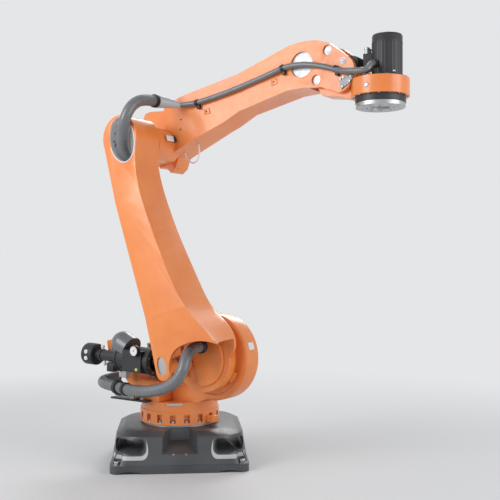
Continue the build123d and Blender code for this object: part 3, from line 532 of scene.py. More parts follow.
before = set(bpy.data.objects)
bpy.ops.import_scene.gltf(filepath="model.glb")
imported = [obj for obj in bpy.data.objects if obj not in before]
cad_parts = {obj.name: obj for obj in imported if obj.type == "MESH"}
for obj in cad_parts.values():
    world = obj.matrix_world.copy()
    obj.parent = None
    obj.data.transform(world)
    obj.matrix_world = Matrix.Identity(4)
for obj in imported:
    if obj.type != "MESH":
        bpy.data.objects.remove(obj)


@dataclass
class Base:
    """The fixed frame: casting, fork pockets, anchors and the cable panel."""

    pocket_offset: float = 298.0
    pocket_up: float = 158.0
    pocket_size: tuple[float, float, float] = (203.0, 109.0, 38.0)
    # The lip settings shape the pale sheets painted as a highlight on the pocket flares.
    lip_shares: tuple[float, ...] = (0.0, 0.25, 0.5, 0.75, 1.0)
    lip_step: float = 8.0
    lip_drop: float = 26.0
    lip_spread: float = 10.0
    lip_proud: float = 0.0012
    lip_least: float = 0.20
    lip_jump: float = 0.045
    anchor_offset: float = 372.0
    anchor_up: float = 48.0

    def build(self) -> None:
        """Build every piece of the fixed frame."""
        soften("base_frame", "base", DARK_CAST, 5.0)
        carry(STEEL, "slewing_ring")
        carry(MOULDED_BLACK, "socket_plate")
        self.fork_lip_highlights()
        self.anchors()
        self.cable_panel()

    def fork_lip_highlights(self) -> None:
        """Pale sheets laid on the casting under the four fork pocket mouths: a painted highlight where the
        lower flare catches light from above.
        """
        solid = bmesh.new()
        solid.from_mesh(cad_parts["base_frame"].data)
        casting = BVHTree.FromBMesh(solid)
        solid.free()
        mouth = self.mouth_outline()
        for side, side_name in ((-1, "left"), (1, "right")):
            for end, end_name in ((-1, "back"), (1, "front")):
                lip = Piece(f"fork_lip_{side_name}_{end_name}", "base", PALE_GREY)
                rings = [
                    self.lip_ring(lip.mesh, casting, mouth, side, end, share) for share in self.lip_shares
                ]
                self.join_rings(lip.mesh, rings)
                lip.done(sharp=60.0)

    def mouth_outline(self) -> list[tuple[float, float]]:
        """Give the outline of a pocket's mouth in short steps."""
        corners = rounded_outline(*self.pocket_size)
        outline = []
        for (x, y), (next_x, next_y) in zip(corners, corners[1:] + corners[:1]):
            steps = max(1, round(math.dist((x, y), (next_x, next_y)) / self.lip_step))
            shares = [step / steps for step in range(steps)]
            outline += [(x + (next_x - x) * share, y + (next_y - y) * share) for share in shares]
        return outline

    def lip_ring(
        self, mesh: Shape, casting: BVHTree, mouth: Outline, side: int, end: int, share: float
    ) -> list[bmesh.types.BMVert | None]:
        """Lay one ring of a lip on the casting.

        Args:
            mesh: The lip's mesh in the making.
            casting: The base casting's faces.
            mouth: The pocket mouth's outline about its middle.
            side: Which side of the frame, -1 or 1.
            end: Which end of the pocket, -1 or 1.
            share: How far out on the lip the ring lies, 0 at the mouth and 1 at its rim.

        Returns:
            The ring's vertices, with None where the casting isn't met.
        """
        height = self.pocket_size[1]
        ring = []
        for x, y in mouth:
            # Painted highlight: the pale sheet reaches further down and out along the bottom of the mouth,
            # where the flare faces the light.
            drop = self.lip_drop * max(0.0, min(1.0, (height * 0.4 - y) / height)) * share
            spread = self.lip_spread * max(0.0, min(1.0, (height * 0.45 - y) / height * 2.0)) * share
            across = side * self.pocket_offset + x + math.copysign(spread, x)
            outside = GROUND.at(across, self.pocket_up + y - drop, end * 600.0)
            place = casting.ray_cast(outside, Vector((0, end, 0)))[0]
            met = place and abs(place.y) > self.lip_least
            ring.append(mesh.verts.new(place + Vector((0, -end * self.lip_proud, 0))) if met else None)
        return ring

    def join_rings(self, mesh: Shape, rings: list[list[bmesh.types.BMVert | None]]) -> None:
        """Join the rings by faces where they lie close, and drop what stays loose."""
        for first, second in zip(rings, rings[1:]):
            for step in range(len(first)):
                after = (step + 1) % len(first)
                quad = (first[step], first[after], second[after], second[step])
                if not all(quad):
                    continue
                spans = ((quad[0].co - quad[1].co).length, (quad[2].co - quad[3].co).length)
                if max(spans) < self.lip_jump:
                    mesh.faces.new(quad)
        bmesh.ops.remove_doubles(mesh, verts=mesh.verts, dist=0.0002)
        loose = [vertex for vertex in mesh.verts if not vertex.link_faces]
        bmesh.ops.delete(mesh, geom=loose, context="VERTS")
        bmesh.ops.recalc_face_normals(mesh, faces=mesh.faces)

    def anchors(self) -> None:
        """Anchor bolts in the corner pockets and two screws in the front niche."""
        corners = [(x * self.anchor_offset, y * self.anchor_offset) for x in (-1, 1) for y in (-1, 1)]
        seats = [GROUND.seat(x, self.anchor_up, near, Facing.UP, 12.0) for x, near in corners]
        fit("anchor_bolts", "base", ZINC, hex_bolt(19.0, 22.0), *seats)
        seats = [GROUND.seat(x, 106.0, 396.0, Facing.UP) for x in (-38.0, 38.0)]
        fit("niche_screws", "base", ZINC, cap_screw(8.0, 8.0), *seats)

    def cable_panel(self) -> None:
        """The two sockets on the panel in the rear niche."""
        ring = [(10.0, 0.0), (20.0, 0.0), (20.0, 8.0), (18.5, 9.5), (10.0, 9.5)]
        seats = [GROUND.seat(x, 203.0, -277.0, Facing.FAR) for x in (-26.0, 26.0)]
        fit("panel_sockets", "base", ZINC, turned(ring, 32), *seats)


def tube_curve(name: str, places: Sequence[Vector], radius: float, smoothness: int) -> bpy.types.Curve:
    """Give a round tube's curve through places, with straight steps between them."""
    curve = bpy.data.curves.new(name, "CURVE")
    curve.dimensions = "3D"
    curve.bevel_depth = radius * MM
    curve.bevel_resolution = smoothness
    curve.use_fill_caps = True
    line = curve.splines.new("POLY")
    line.points.add(len(places) - 1)
    for point, place in zip(line.points, places):
        point.co = (*place, 1.0)
    return curve


def bead(
    name: str, path: Sequence[Vector], radius: float, body: str, finish: Finish, closed: bool = True
) -> bpy.types.Object:
    """A round bead along a path of places.

    Args:
        name: Name of the piece.
        path: Places in the row frame.
        radius: Radius in millimetres.
        body: Body that it rides on.
        finish: Its finish.
        closed: Whether the bead closes on itself.

    Returns:
        The finished mesh object.
    """
    curve = tube_curve(name, path, radius, 3)
    curve.splines[0].use_cyclic_u = closed
    return dress(as_mesh(name, curve), body, finish)


def as_mesh(name: str, curve: bpy.types.Curve) -> bpy.types.Object:
    """Turn a curve into a mesh object and drop the curve."""
    drawn = placed(f"{name}_curve", curve)
    bpy.context.view_layer.update()
    graph = bpy.context.evaluated_depsgraph_get()
    data = bpy.data.meshes.new_from_object(drawn.evaluated_get(graph))
    data.name = name
    bpy.data.objects.remove(drawn)
    bpy.data.curves.remove(curve)
    return placed(name, data)


def centre_line(route: Sequence[Vector], step: float) -> list[Vector]:
    """Follow a hose's route smoothly and give even places along it.

    Args:
        route: The route's points in the row frame.
        step: Distance between the places, in millimetres.

    Returns:
        Places from end to end.
    """
    curve = bpy.data.curves.new("route", "CURVE")
    curve.dimensions = "3D"
    line = curve.splines.new("NURBS")
    line.points.add(len(route) - 1)
    for point, place in zip(line.points, route):
        point.co = (*place, 1.0)
    line.order_u = 3
    line.use_endpoint_u = True
    line.resolution_u = 24
    drawn = as_mesh("route", curve)
    raw = [vertex.co.copy() for vertex in drawn.data.vertices]
    bpy.data.objects.remove(drawn)
    places = [raw[0]]
    wanted = step * MM
    for before, after in zip(raw, raw[1:]):
        while after != before and (after - places[-1]).length >= wanted:
            span = after - places[-1]
            places.append(places[-1] + span.normalized() * wanted)
    return places


def hose(name: str, route: Sequence[Vector], radius: float, pitch: float, depth: float) -> bpy.types.Object:
    """A corrugated hose along a route.

    Args:
        name: Name of the piece.
        route: The route's points in the row frame.
        radius: Outer radius in millimetres.
        pitch: Distance between its ribs in millimetres.
        depth: Depth of the valleys in millimetres.

    Returns:
        The hose's mesh object, not riding yet.
    """
    wave = (1.0, 0.5, 0.0, 0.5)
    curve = tube_curve(name, centre_line(route, pitch / len(wave)), radius, 5)
    for index, point in enumerate(curve.splines[0].points):
        point.radius = 1.0 - (depth / radius) * wave[index % len(wave)]
    return as_mesh(name, curve)


def fit(name: str, body: str, finish: Finish, shape: Shape, *seats: Matrix) -> None:
    """Make a whole piece of one shape at its seats.

    Args:
        name: Name of the piece.
        body: Body that it rides on.
        finish: Its finish.
        shape: The shape in millimetres, which is freed.
        seats: Where its copies go.
    """
    Piece(name, body, finish).add(shape, *seats).done()


def round_places(count: int, radius: float, start: float = 0.0) -> list[tuple[float, float]]:
    """Give even places on a circle about the origin.

    Args:
        count: How many places.
        radius: The circle's radius in millimetres.
        start: Where the first one lies, in steps between two places.

    Returns:
        The places in millimetres.
    """
    turns = ((index + start) * math.tau / count for index in range(count))
    return [(radius * math.cos(turn), radius * math.sin(turn)) for turn in turns]


def along(start: Vector, end: Vector, share: float) -> Matrix:
    """Give the seat of a ring that sits part of the way from one place to another, facing along."""
    turn = (end - start).to_track_quat("Z", "Y").to_matrix().to_4x4()
    return Matrix.Translation(start.lerp(end, share)) @ turn @ Matrix.Scale(MM, 4)


@dataclass
class Motor:
    """One servo motor: flange, ribbed casing, end bell and connector box."""

    node: str
    body: str
    seat: Matrix
    radius: float
    length: float
    box_turn: float
    box_lift: float
    ribs: int = 30
    rib_depth: float = 1.4
    bell: float = 46.0
    flange: float = 22.0
    flange_margin: float = 13.0
    sunk: float = 2.0
    box_size: tuple[float, float, float, float] = (86.0, 68.0, 90.0, 5.0)

    def build(self) -> None:
        """Build the motor over its CAD node."""
        casing = Piece(f"{self.node}_casing", self.body, MOTOR_BLACK)
        side = 2 * self.radius + self.flange_margin
        casing.add(prism(rounded_outline(side, side, self.radius * 0.5), self.flange, 2.0), self.seat)
        foot = self.flange - self.sunk
        outline = ribbed_outline(self.radius, self.rib_depth, self.ribs)
        ribbed = prism(outline, self.length - self.bell - foot)
        casing.add(ribbed, self.seat @ Matrix.Translation((0, 0, foot)))
        top, low, reach = self.length, self.length - self.bell, self.radius
        bell = [
            (0, low - 2), (reach, low - 2), (reach + 0.8, low), (reach + 0.8, low + 4), (reach, low + 6),
            (reach, top - 9), (reach - 3, top - 3), (reach - 9, top - 1), (0, top - 1),
        ]
        casing.add(turned(bell, 64), self.seat)
        casing.done(self.node)
        rim = [
            (reach - 16, top - 2), (reach - 5, top - 2.5), (reach - 4, top - 1), (reach - 7, top),
            (reach - 16, top), (reach - 16, top - 2),
        ]
        fit(f"{self.node}_rim", self.body, ZINC, turned(rim, 64), self.seat)
        self.fasteners()
        self.connectors()

    def fasteners(self) -> None:
        """Screws at the flange's corners and round the end bell."""
        screws = Piece(f"{self.node}_screws", self.body, ZINC)
        reach = self.radius * 0.93
        corners = [Matrix.Translation((x * reach, y * reach, self.flange)) for x in (-1, 1) for y in (-1, 1)]
        screws.add(cap_screw(7.5, 8.0), *[self.seat @ corner for corner in corners])
        out = Matrix.Translation((self.radius * 0.66, 0, self.length - 1.5))
        turns = [Matrix.Rotation(index * math.tau / 6, 4, "Z") for index in range(6)]
        screws.add(cap_screw(4.5, 3.5), *[self.seat @ turn @ out for turn in turns]).done()

    def connectors(self) -> None:
        """The connector box and its two plugs."""
        turn = Matrix.Rotation(math.radians(self.box_turn), 4, "Z")
        seat = self.seat @ turn @ Matrix.Translation((self.radius, 0, self.box_lift))
        box = Piece(f"{self.node}_connector_box", self.body, MOULDED_BLACK)
        box.add(block(*self.box_size), seat).done(sharp=40.0)
        plug = [(0, 0), (15, 0), (15, 10), (13, 12), (13, 22), (15, 24), (15, 34), (9, 38), (0, 38)]
        seats = [seat @ Matrix.Translation((24.0, y, 88.0)) for y in (-16.0, 16.0)]
        fit(f"{self.node}_plugs", self.body, ZINC, turned(plug, 28), *seats)


@dataclass
class Column:
    """The turning column: casting, shoulder ear, screws and the first two motors."""

    pocket_count: int = 18
    pocket_ring: float = 237.5
    pocket_floor: float = 263.0
    drum_top: float = 387.0
    ear_near: float = 119.0
    ear_radius: float = 261.6
    plate_turn: float = 17.0
    motor_radius: float = 84.0

    def build(self) -> None:
        """Build every piece of the column."""
        widths = {"column_casting": 5.0, "rear_horn": 6.0, "shoulder_ring": 2.5, "turn_stop": 6.0}
        for node, width in widths.items():
            soften(node, "column", ORANGE, width)
        carry(STEEL, "trunnion_shaft")
        carry(BLACK_STEEL, "hose_bracket")
        self.drum_screws()
        self.ear_rim()
        self.small_plates()
        self.motors()

    def drum_screws(self) -> None:
        """Screws in the pockets round the drum's foot."""
        places = round_places(self.pocket_count, self.pocket_ring)
        seats = [GROUND.seat(x, self.pocket_floor, -y, Facing.UP) for x, y in places]
        fit("drum_screws", "column", ZINC, cap_screw(11.0, 15.0), *seats)

    def ear_rim(self) -> None:
        """The raised machined rim on the ear's near face."""
        band = [(222, 0), (250, 0), (250, 4), (248, 6), (226, 6), (222, 2), (222, 0)]
        fit("ear_rim", "column", ORANGE, turned(band, 128), ROBOT.seat(*SHOULDER, self.ear_near - 1.0))

    def small_plates(self) -> None:
        """The bare plate on the ear's rim and the pale bar on the drum."""
        x, y = SHOULDER
        turn = math.radians(self.plate_turn)
        ahead, rise = self.ear_radius * math.cos(turn), self.ear_radius * math.sin(turn)
        place = ROBOT.tilted(x + ahead, y + rise, self.plate_turn)
        fit("ear_plate", "column", WHITE, block(52.0, 44.0, 1.6, 0.6), place.seat(0, 0, 62.0, Facing.AHEAD))
        bar = GROUND.seat(-30.0, 377.0, 239.0, Facing.NEAR, 1.0)
        fit("drum_bar", "column", PALE_GREY, block(96.0, 16.0, 5.0, 2.0), bar)

    def motors(self) -> None:
        """The upright turn motor on the drum and the shoulder motor on the far side."""
        upright = ROBOT.seat(-138.0, self.drum_top, -20.0, Facing.UP)
        Motor("turn_motor", "column", upright, self.motor_radius, 390.0, 200.0, 210.0).build()
        level = ROBOT.seat(*SHOULDER, -5.0, Facing.FAR)
        Motor("shoulder_motor", "column", level, self.motor_radius, 205.0, -90.0, 34.0).build()


@dataclass
class Balancer:
    """The balancing cylinder and the fittings round it."""

    barrel_rings: tuple[float, ...] = (112.0, 372.0)
    tube_rings: tuple[float, ...] = (-60.0, 62.0, 96.0)
    gauge_marks: int = 11

    def build(self) -> None:
        """Build every piece of the cylinder."""
        carry(MOTOR_BLACK, "balancer_barrel")
        soften("barrel_end_cap", "barrel", MOULDED_BLACK, 4.0)
        soften("valve_block", "barrel", MOULDED_BLACK, 4.0)
        carry(GREY_PAINT, "accumulator")
        carry(STEEL, "piston_rod")
        self.bands()
        self.end_plugs()
        self.gauge()
        self.fittings()

    @staticmethod
    def seat(x: float, y: float, out: float = 0.0, way: Facing = Facing.NEAR) -> Matrix:
        """Give a seat on the barrel, measured out from its own axis towards the near side."""
        return BARREL.seat(x, y, BALANCER_PLANE + out, way)

    def bands(self) -> None:
        """Clamp bands and end rings on the barrel and its tube."""
        rings = Piece("barrel_rings", "barrel", MOTOR_BLACK)
        wide = [(78.0, 0.0), (84.0, 0.0), (85.5, 2.0), (85.5, 14.0), (84.0, 16.0), (78.0, 16.0), (78.0, 0.0)]
        for x in self.barrel_rings:
            rings.add(turned(wide, 64), self.seat(x, 0, way=Facing.AHEAD))
        thin = [(33.0, 0.0), (39.0, 0.0), (39.0, 10.0), (33.0, 10.0), (33.0, 0.0)]
        for x in self.tube_rings:
            rings.add(turned(thin, 48), self.seat(x, 0, way=Facing.AHEAD))
        rings.done()
        seats = [self.seat(388.0, y, out, Facing.AHEAD) for out, y in round_places(8, 69.0, 0.5)]
        fit("barrel_screws", "barrel", ZINC, cap_screw(5.5, 6.0), *seats)

    def end_plugs(self) -> None:
        """The two white plugs on the rear cap."""
        plug = [(0, 0), (13, 0), (13, 10), (11, 12), (5, 12), (5, 8), (0, 8)]
        seats = [self.seat(-136.0, y, 63.0) for y in (-20.0, 20.0)]
        fit("end_cap_plugs", "barrel", WHITE, turned(plug, 28), *seats)

    def gauge(self) -> None:
        """The pressure gauge: dark case, pale dial, needle and marks."""
        seat = self.seat(310.0, 68.0, 88.0)
        case = Piece("gauge_case", "barrel", BLACK_STEEL)
        profile = [(0, 0), (32, 0), (34, 3), (34, 23), (32, 27), (29, 27), (29, 24), (0, 24)]
        case.add(turned(profile, 48), seat).done("pressure_gauge")
        dial = [(0, 24.0), (28.6, 24.0), (28.6, 25.0), (0, 25.0)]
        fit("gauge_dial", "barrel", DIAL, turned(dial, 48), seat)
        marks = Piece("gauge_marks", "barrel", BLACK_STEEL)
        for index in range(self.gauge_marks):
            turn = Matrix.Rotation(math.radians(225 - index * 27), 4, "Z")
            marks.add(block(5.0, 1.2, 0.8, 0.2), seat @ turn @ Matrix.Translation((23.5, 0, 24.8)))
        needle = Matrix.Rotation(math.radians(60), 4, "Z")
        marks.add(block(24.0, 1.8, 1.0, 0.3), seat @ needle @ Matrix.Translation((7.0, 0, 25.2)))
        marks.add(turned([(0, 24.6), (3.5, 24.6), (3.5, 27.0), (0, 27.0)], 20), seat).done()

    def fittings(self) -> None:
        """Valve boxes, the lime cap and the pale connectors."""
        fit("pale_valve_box", "barrel", PALE_GREY, block(62, 58, 46, 6), self.seat(132.0, -92.0, -28.0))
        fit("dark_valve_box", "barrel", MOULDED_BLACK, block(58, 56, 50, 5), self.seat(34.0, -66.0, -22.0))
        cap = [(0, 0), (11, 0), (11, 9), (8, 13), (0, 14)]
        fit("lime_cap", "barrel", LIME, turned(cap, 28), self.seat(312.0, -46.0, 78.0))
        stub = [(0, 0), (9, 0), (9, 12), (12, 14), (12, 26), (8, 30), (0, 30)]
        seats = (self.seat(-58.0, 34.0, way=Facing.UP), self.seat(-40.0, -34.0, way=Facing.DOWN))
        fit("pale_connectors", "barrel", WHITE, turned(stub, 24), *seats)


@dataclass
class LinkArm:
    """The link arm between shoulder and elbow."""

    port_half: tuple[float, float] = (96.5, 138.5)
    port_steps: int = 96
    sleeve_near: tuple[float, float] = (350.0, 507.0)
    sleeve_wall: float = 3.0
    # Radius of the white bead painted as a highlight on the port's rim.
    highlight_bead_radius: float = 3.6
    hole_places: Outline = ((72, 470), (25, 478), (8, 466), (-6, 476), (-30, 462), (-59, 464))

    def build(self) -> None:
        """Build every piece of the link arm."""
        soften("link_arm", "link", ORANGE, 7.0)
        soften("hub_cover", "link", ORANGE, 3.0)
        carry(STEEL, "balancer_pin", "pin_cap")
        carry(WHITE, "port_liner")
        self.sleeve()
        self.port_highlight_bead()
        self.port_holes()
        self.cast_line()

    def port_ring(self, inset: float, near: float) -> list[Vector]:
        """Give places round the oval port.

        Args:
            inset: How far inside the port's wall, in millimetres.
            near: How far to the near side, in millimetres.

        Returns:
            The places in order.
        """
        wide, high = (half - inset for half in self.port_half)
        turns = [step / self.port_steps * math.tau for step in range(self.port_steps)]
        return [LINK.at(wide * math.cos(turn), LINK_LENGTH + high * math.sin(turn), near) for turn in turns]

    def sleeve(self) -> None:
        """The white sleeve inside the top port."""
        deep, mouth = self.sleeve_near
        shape = bmesh.new()
        edges = ((0.0, deep), (0.0, mouth), (self.sleeve_wall, mouth), (self.sleeve_wall, deep))
        rings = [[shape.verts.new(place) for place in self.port_ring(*edge)] for edge in edges]
        for first, second in zip(rings, rings[1:] + rings[:1]):
            for step in range(self.port_steps):
                after = (step + 1) % self.port_steps
                shape.faces.new((first[step], first[after], second[after], second[step]))
        bmesh.ops.recalc_face_normals(shape, faces=shape.faces)
        fit("port_sleeve", "link", WHITE, shape, Matrix.Identity(4))

    def port_highlight_bead(self) -> None:
        """A painted highlight: a white bead round the sleeve's mouth, open on the near upper side."""
        ring = self.port_ring(-1.0, self.sleeve_near[1] + 3.5)
        around = ring + ring[:1]
        bead("port_highlight_bead", around[50:] + around[:6], self.highlight_bead_radius, "link", WHITE, closed=False)

    def port_holes(self) -> None:
        """The small dark holes in the sleeve's wall."""
        wide, high = (half - self.sleeve_wall for half in self.port_half)
        seats = []
        for y, near in self.hole_places:
            x = -wide * math.sqrt(1.0 - (y / high) ** 2)
            seats.append(LINK.seat(x - 1.0, LINK_LENGTH + y, near, Facing.AHEAD))
        fit("port_holes", "link", BLACK_STEEL, cap_screw(5.0, 3.0), *seats)

    def cast_line(self) -> None:
        """The cast line low on the near face."""
        seat = LINK.seat(-55.0, 292.0, 448.5, Facing.NEAR, 8.0)
        fit("link_cast_line", "link", ORANGE, block(112.0, 5.0, 3.0, 1.2), seat)


@dataclass
class UpperArm:
    """The upper arm from elbow to wrist."""

    elbow_screw_ring: float = 111.5
    pad_places: Sequence[Place] = ((378.0, 94.0, 133.0), (858.0, 99.0, 99.0))
    pin_places: Sequence[Place] = (
        (378.0, 94.0, 137.5), (858.0, 99.0, 103.5), (167.0, 52.0, 149.5), (186.0, 110.0, 149.5),
    )
    bracket_spots: Outline = ((22.0, -48.0), (38.0, -47.0), (22.0, -92.0), (82.0, -56.0), (70.0, -78.0))
    crown_corners: Outline = (
        (-110.0, 96.0), (-152.0, 150.0), (-168.0, 236.0), (-140.0, 280.0), (-92.0, 276.0), (0.0, 246.0),
        (60.0, 236.0), (40.0, 120.0),
    )

    def build(self) -> None:
        """Build every piece of the upper arm."""
        soften("arm_casting", "arm", ORANGE, 7.0)
        soften("elbow_flange", "arm", ORANGE, 2.5)
        carry(COVER, "recess_covers")
        carry(WHITE, "service_cable")
        carry(GREY_PAINT, "wrist_bracket")
        seat = ARM.seat(70.0, 120.0, -60.0, Facing.FAR)
        Motor("elbow_motor", "arm", seat, 64.0, 150.0, -90.0, 34.0).build()
        self.elbow_screws()
        self.pads()
        self.bracket_screws()
        self.boss()
        self.root_plate()
        self.crown()

    def elbow_screws(self) -> None:
        """Screws round the elbow gear flange."""
        seats = [ARM.seat(x, y, 267.0, Facing.FAR) for x, y in round_places(20, self.elbow_screw_ring)]
        fit("elbow_screws", "arm", ZINC, cap_screw(5.2, 6.0), *seats)

    def bracket_screws(self) -> None:
        """Screws of the plate by the wrist."""
        seats = [ARM.seat(ARM_LENGTH + x, y, 107.5) for x, y in self.bracket_spots]
        fit("bracket_screws", "arm", ZINC, cap_screw(6.0, 6.0), *seats)

    def pads(self) -> None:
        """The two small square pads on the near face, and the small holes there."""
        seats = [ARM.seat(*place) for place in self.pad_places]
        fit("arm_pads", "arm", ORANGE, block(40.0, 34.0, 5.0, 1.5), *seats)
        seats = [ARM.seat(*place) for place in self.pin_places]
        fit("arm_pad_pins", "arm", BLACK_STEEL, cap_screw(5.0, 3.0), *seats)

    def crown(self) -> None:
        """The rear crown of the root, seen between the link arm's top and the main hose."""
        fit("root_crown", "arm", ORANGE, prism(self.crown_corners, 128.0, 14.0, 4), ARM.seat(0, 0, -34.0))

    def root_plate(self) -> None:
        """The bare plate on the elbow flange and the small dark sensor by it."""
        seat = ARM.seat(116.4, 4.0, 206.0, Facing.AHEAD)
        fit("root_plate", "arm", WHITE, block(66.0, 36.0, 3.0, 0.8), seat)
        seat = ARM.seat(106.0, 8.0, 149.6, Facing.NEAR, ARM_RISE)
        fit("root_sensor", "arm", MOULDED_BLACK, block(30.0, 40.0, 20.0, 3.0), seat)

    def boss(self) -> None:
        """The small round boss near the arm's end."""
        profile = [(0, 0), (18, 0), (18, 4), (12, 4), (12, 6.5), (9, 8), (0, 8)]
        fit("arm_boss", "arm", COVER, turned(profile, 32), ARM.seat(1306.0, 46.0, 99.5))


@dataclass
class Wrist:
    """The level wrist: housing, last gear, flange and motor."""

    reach: float = 218.0
    deck_from: float = 112.0
    deck_up: float = -52.0
    motor_top: float = 190.0
    motor_shift: float = 28.0
    gear_ring: float = 146.0
    flange_ring: float = 72.0

    def build(self) -> None:
        """Build every piece of the wrist."""
        self.lower_deck(soften("wrist_housing", "wrist", ORANGE, 6.0))
        carry(MOTOR_BLACK, "wrist_gear")
        soften("wrist_cover", "wrist", MOULDED_BLACK, 3.0)
        soften("tool_flange", "tool", STEEL, 1.5)
        seat = WRIST.seat(self.reach + self.motor_shift, self.deck_up, -24.0, Facing.UP)
        Motor("wrist_motor", "wrist", seat, 83.0, self.motor_top - self.deck_up, 190.0, 60.0).build()
        self.screw_ring("gear_screws", "wrist", round_places(16, self.gear_ring), -145.0, 4.0)
        self.plug()
        self.screw_ring("flange_screws", "tool", round_places(8, self.flange_ring, 0.5), -203.0, 3.0)

    def lower_deck(self, casting: bpy.types.Object) -> None:
        """Bring the deck round the motor down to the photograph's height."""
        for vertex in casting.data.vertices:
            away = vertex.co - WRIST.origin
            over = away.dot(WRIST.up) - self.deck_up * MM
            if away.dot(WRIST.ahead) > self.deck_from * MM and over > 0:
                vertex.co -= WRIST.up * over

    def screw_ring(self, name: str, body: str, places: Outline, up: float, height: float) -> None:
        """Screws up into the last gear or the tool flange, round the last axis."""
        seats = [WRIST.seat(self.reach + x, up, near, Facing.DOWN) for x, near in places]
        fit(name, body, ZINC, cap_screw(5.0, height), *seats)

    @staticmethod
    def plug() -> None:
        """The plug on the housing's near side."""
        plug = [(0, 0), (13, 0), (13, 3), (10, 5), (0, 5)]
        fit("wrist_plug", "wrist", COVER, turned(plug, 28), WRIST.seat(212.0, -104.0, 156.0))


# Routes of the hoses in local millimetres: the lower one in the robot's frame, the others in the
# upper arm's, and the thin one's end in the wrist's. Each place is ahead, up, near.
LOWER_ROUTE = [
    (-300, 520, 235), (-345, 510, 320), (-300, 500, 395), (-180, 494, 425), (-60, 490, 450), (60, 490, 478),
    (180, 500, 500), (300, 525, 508), (395, 572, 508), (440, 638, 500), (432, 706, 462), (405, 742, 400),
    (398, 756, 330), (398, 756, 272),
]
UPPER_ROUTE = [
    (-52, -132, 418), (-45, -80, 455), (-36, -38, 478), (2, 2, 508), (52, 45, 540), (108, 108, 556),
    (140, 170, 515), (150, 212, 420), (152, 215, 310),
]
THIN_ROUTE = [
    (222, 186, 184), (290, 166, 172), (357, 160, 156), (496, 152, 136), (637, 152, 118), (760, 148, 118),
    (880, 146, 118), (951, 148, 118), (1036, 129, 118), (1121, 95, 118), (1201, 49, 118), (1262, 8, 122),
    (1300, -20, 134),
]
THIN_END = [
    (108, -14, 148), (158, -22, 152), (196, -24, 150), (214, -16, 140), (216, 4, 122), (214, 22, 96),
    (212, 30, 52),
]


@dataclass
class Hoses:
    """The two main hoses, the thin hose along the arm and what holds them."""

    main_radius: float = 34.0
    main_pitch: float = 9.0
    main_depth: float = 1.2
    thin_radius: float = 16.0
    thin_pitch: float = 6.0
    thin_depth: float = 0.5
    clip_places: Sequence[tuple[float, float, float, float]] = (
        (338.0, 161.0, 160.0, -6.0), (940.0, 147.0, 118.0, -1.0), (1262.0, 11.0, 118.0, -32.0),
    )

    def build(self) -> None:
        """Build the hoses with their ends, clamps and clips."""
        lower = [ROBOT.at(*place) for place in LOWER_ROUTE]
        upper = [ARM.at(*place) for place in UPPER_ROUTE]
        thin = [ARM.at(*place) for place in THIN_ROUTE] + [WRIST.at(*place) for place in THIN_END]
        self.lay("lower_hose", lower, (lower[5], lower[12]))
        self.lay("upper_hose", upper, (upper[0], upper[6]))
        self.lay("thin_hose", thin, (thin[10], thin[14]), main=False)
        soften("hose_sleeve", "arm", SLEEVE, 3.0)
        self.clips()
        self.bands(lower, upper)
        self.end_fittings(lower, thin)

    def lay(
        self, node: str, route: Sequence[Vector], across: tuple[Vector, Vector],
        main: bool = True,
    ) -> None:
        """Lay one hose in place of its CAD solid.

        Args:
            node: The CAD node that the hose replaces.
            route: Its route in the row frame.
            across: Not used.
            main: Whether it is one of the two thick hoses.
        """
        radius = self.main_radius if main else self.thin_radius
        pitch = self.main_pitch if main else self.thin_pitch
        depth = self.main_depth if main else self.thin_depth
        jacket = hose(f"{node}_jacket", route, radius, pitch, depth)
        dress(jacket, "", HOSE, node, sharp=70.0)
        tuple(across[0])
        tuple(across[1])
        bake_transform(jacket)

    def clips(self) -> None:
        """Clips of the thin hose on the arm."""
        clips = Piece("thin_hose_clips", "arm", BLACK_STEEL)
        for x, y, near, turn in self.clip_places:
            collar = turned([(15.0, -9.0), (20.0, -9.0), (20.0, 9.0), (15.0, 9.0), (15.0, -9.0)], 32)
            clips.add(collar, ARM.tilted(x, y, turn).seat(0, 0, near, Facing.AHEAD))
            clips.add(block(20.0, 26.0, 22.0, 2.0), ARM.seat(x, y - 24.0, near - 20.0, Facing.NEAR, turn))
        clips.done()

    def bands(self, lower: Sequence[Vector], upper: Sequence[Vector]) -> None:
        """Clamp bands round the main hoses, and the foot of the lower one's bracket."""
        ring = [
            (33.0, -12.0), (38.5, -12.0), (40.0, -10.0), (40.0, 10.0), (38.5, 12.0), (33.0, 12.0),
            (33.0, -12.0),
        ]
        fit("lower_hose_bands", "column", BLACK_STEEL, turned(ring, 48), along(lower[4], lower[5], 0.18))
        fit("upper_hose_collar", "arm", BLACK_STEEL, turned(ring, 48), along(upper[-2], upper[-1], 0.86))
        foot = ROBOT.seat(-172.0, 386.0, 248.0, Facing.UP)
        fit("bracket_foot", "column", BLACK_STEEL, block(300.0, 100.0, 12.0, 4.0), foot)
        seats = [ROBOT.seat(x, 397.5, 272.0, Facing.UP) for x in (-150.0, -76.0)]
        fit("bracket_bolts", "column", ZINC, hex_bolt(13.0, 14.0), *seats)

    def end_fittings(self, lower: Sequence[Vector], thin: Sequence[Vector]) -> None:
        """The fitting under the link arm's arch and the gland on the wrist motor."""
        end = [
            (30.0, -16.0), (40.0, -16.0), (42.0, -13.0), (42.0, 8.0), (38.0, 14.0), (30.0, 14.0),
            (30.0, -16.0),
        ]
        fit("lower_hose_fitting", "link", BLACK_STEEL, turned(end, 48), along(lower[-1], lower[-2], 0.25))
        nut = [
            (14.0, -14.0), (21.0, -14.0), (22.0, -12.0), (22.0, 2.0), (18.5, 4.0), (18.5, 12.0),
            (14.0, 12.0), (14.0, -14.0),
        ]
        fit("thin_hose_gland", "wrist", BLACK_STEEL, turned(nut, 24), along(thin[-1], thin[-2], 0.36))


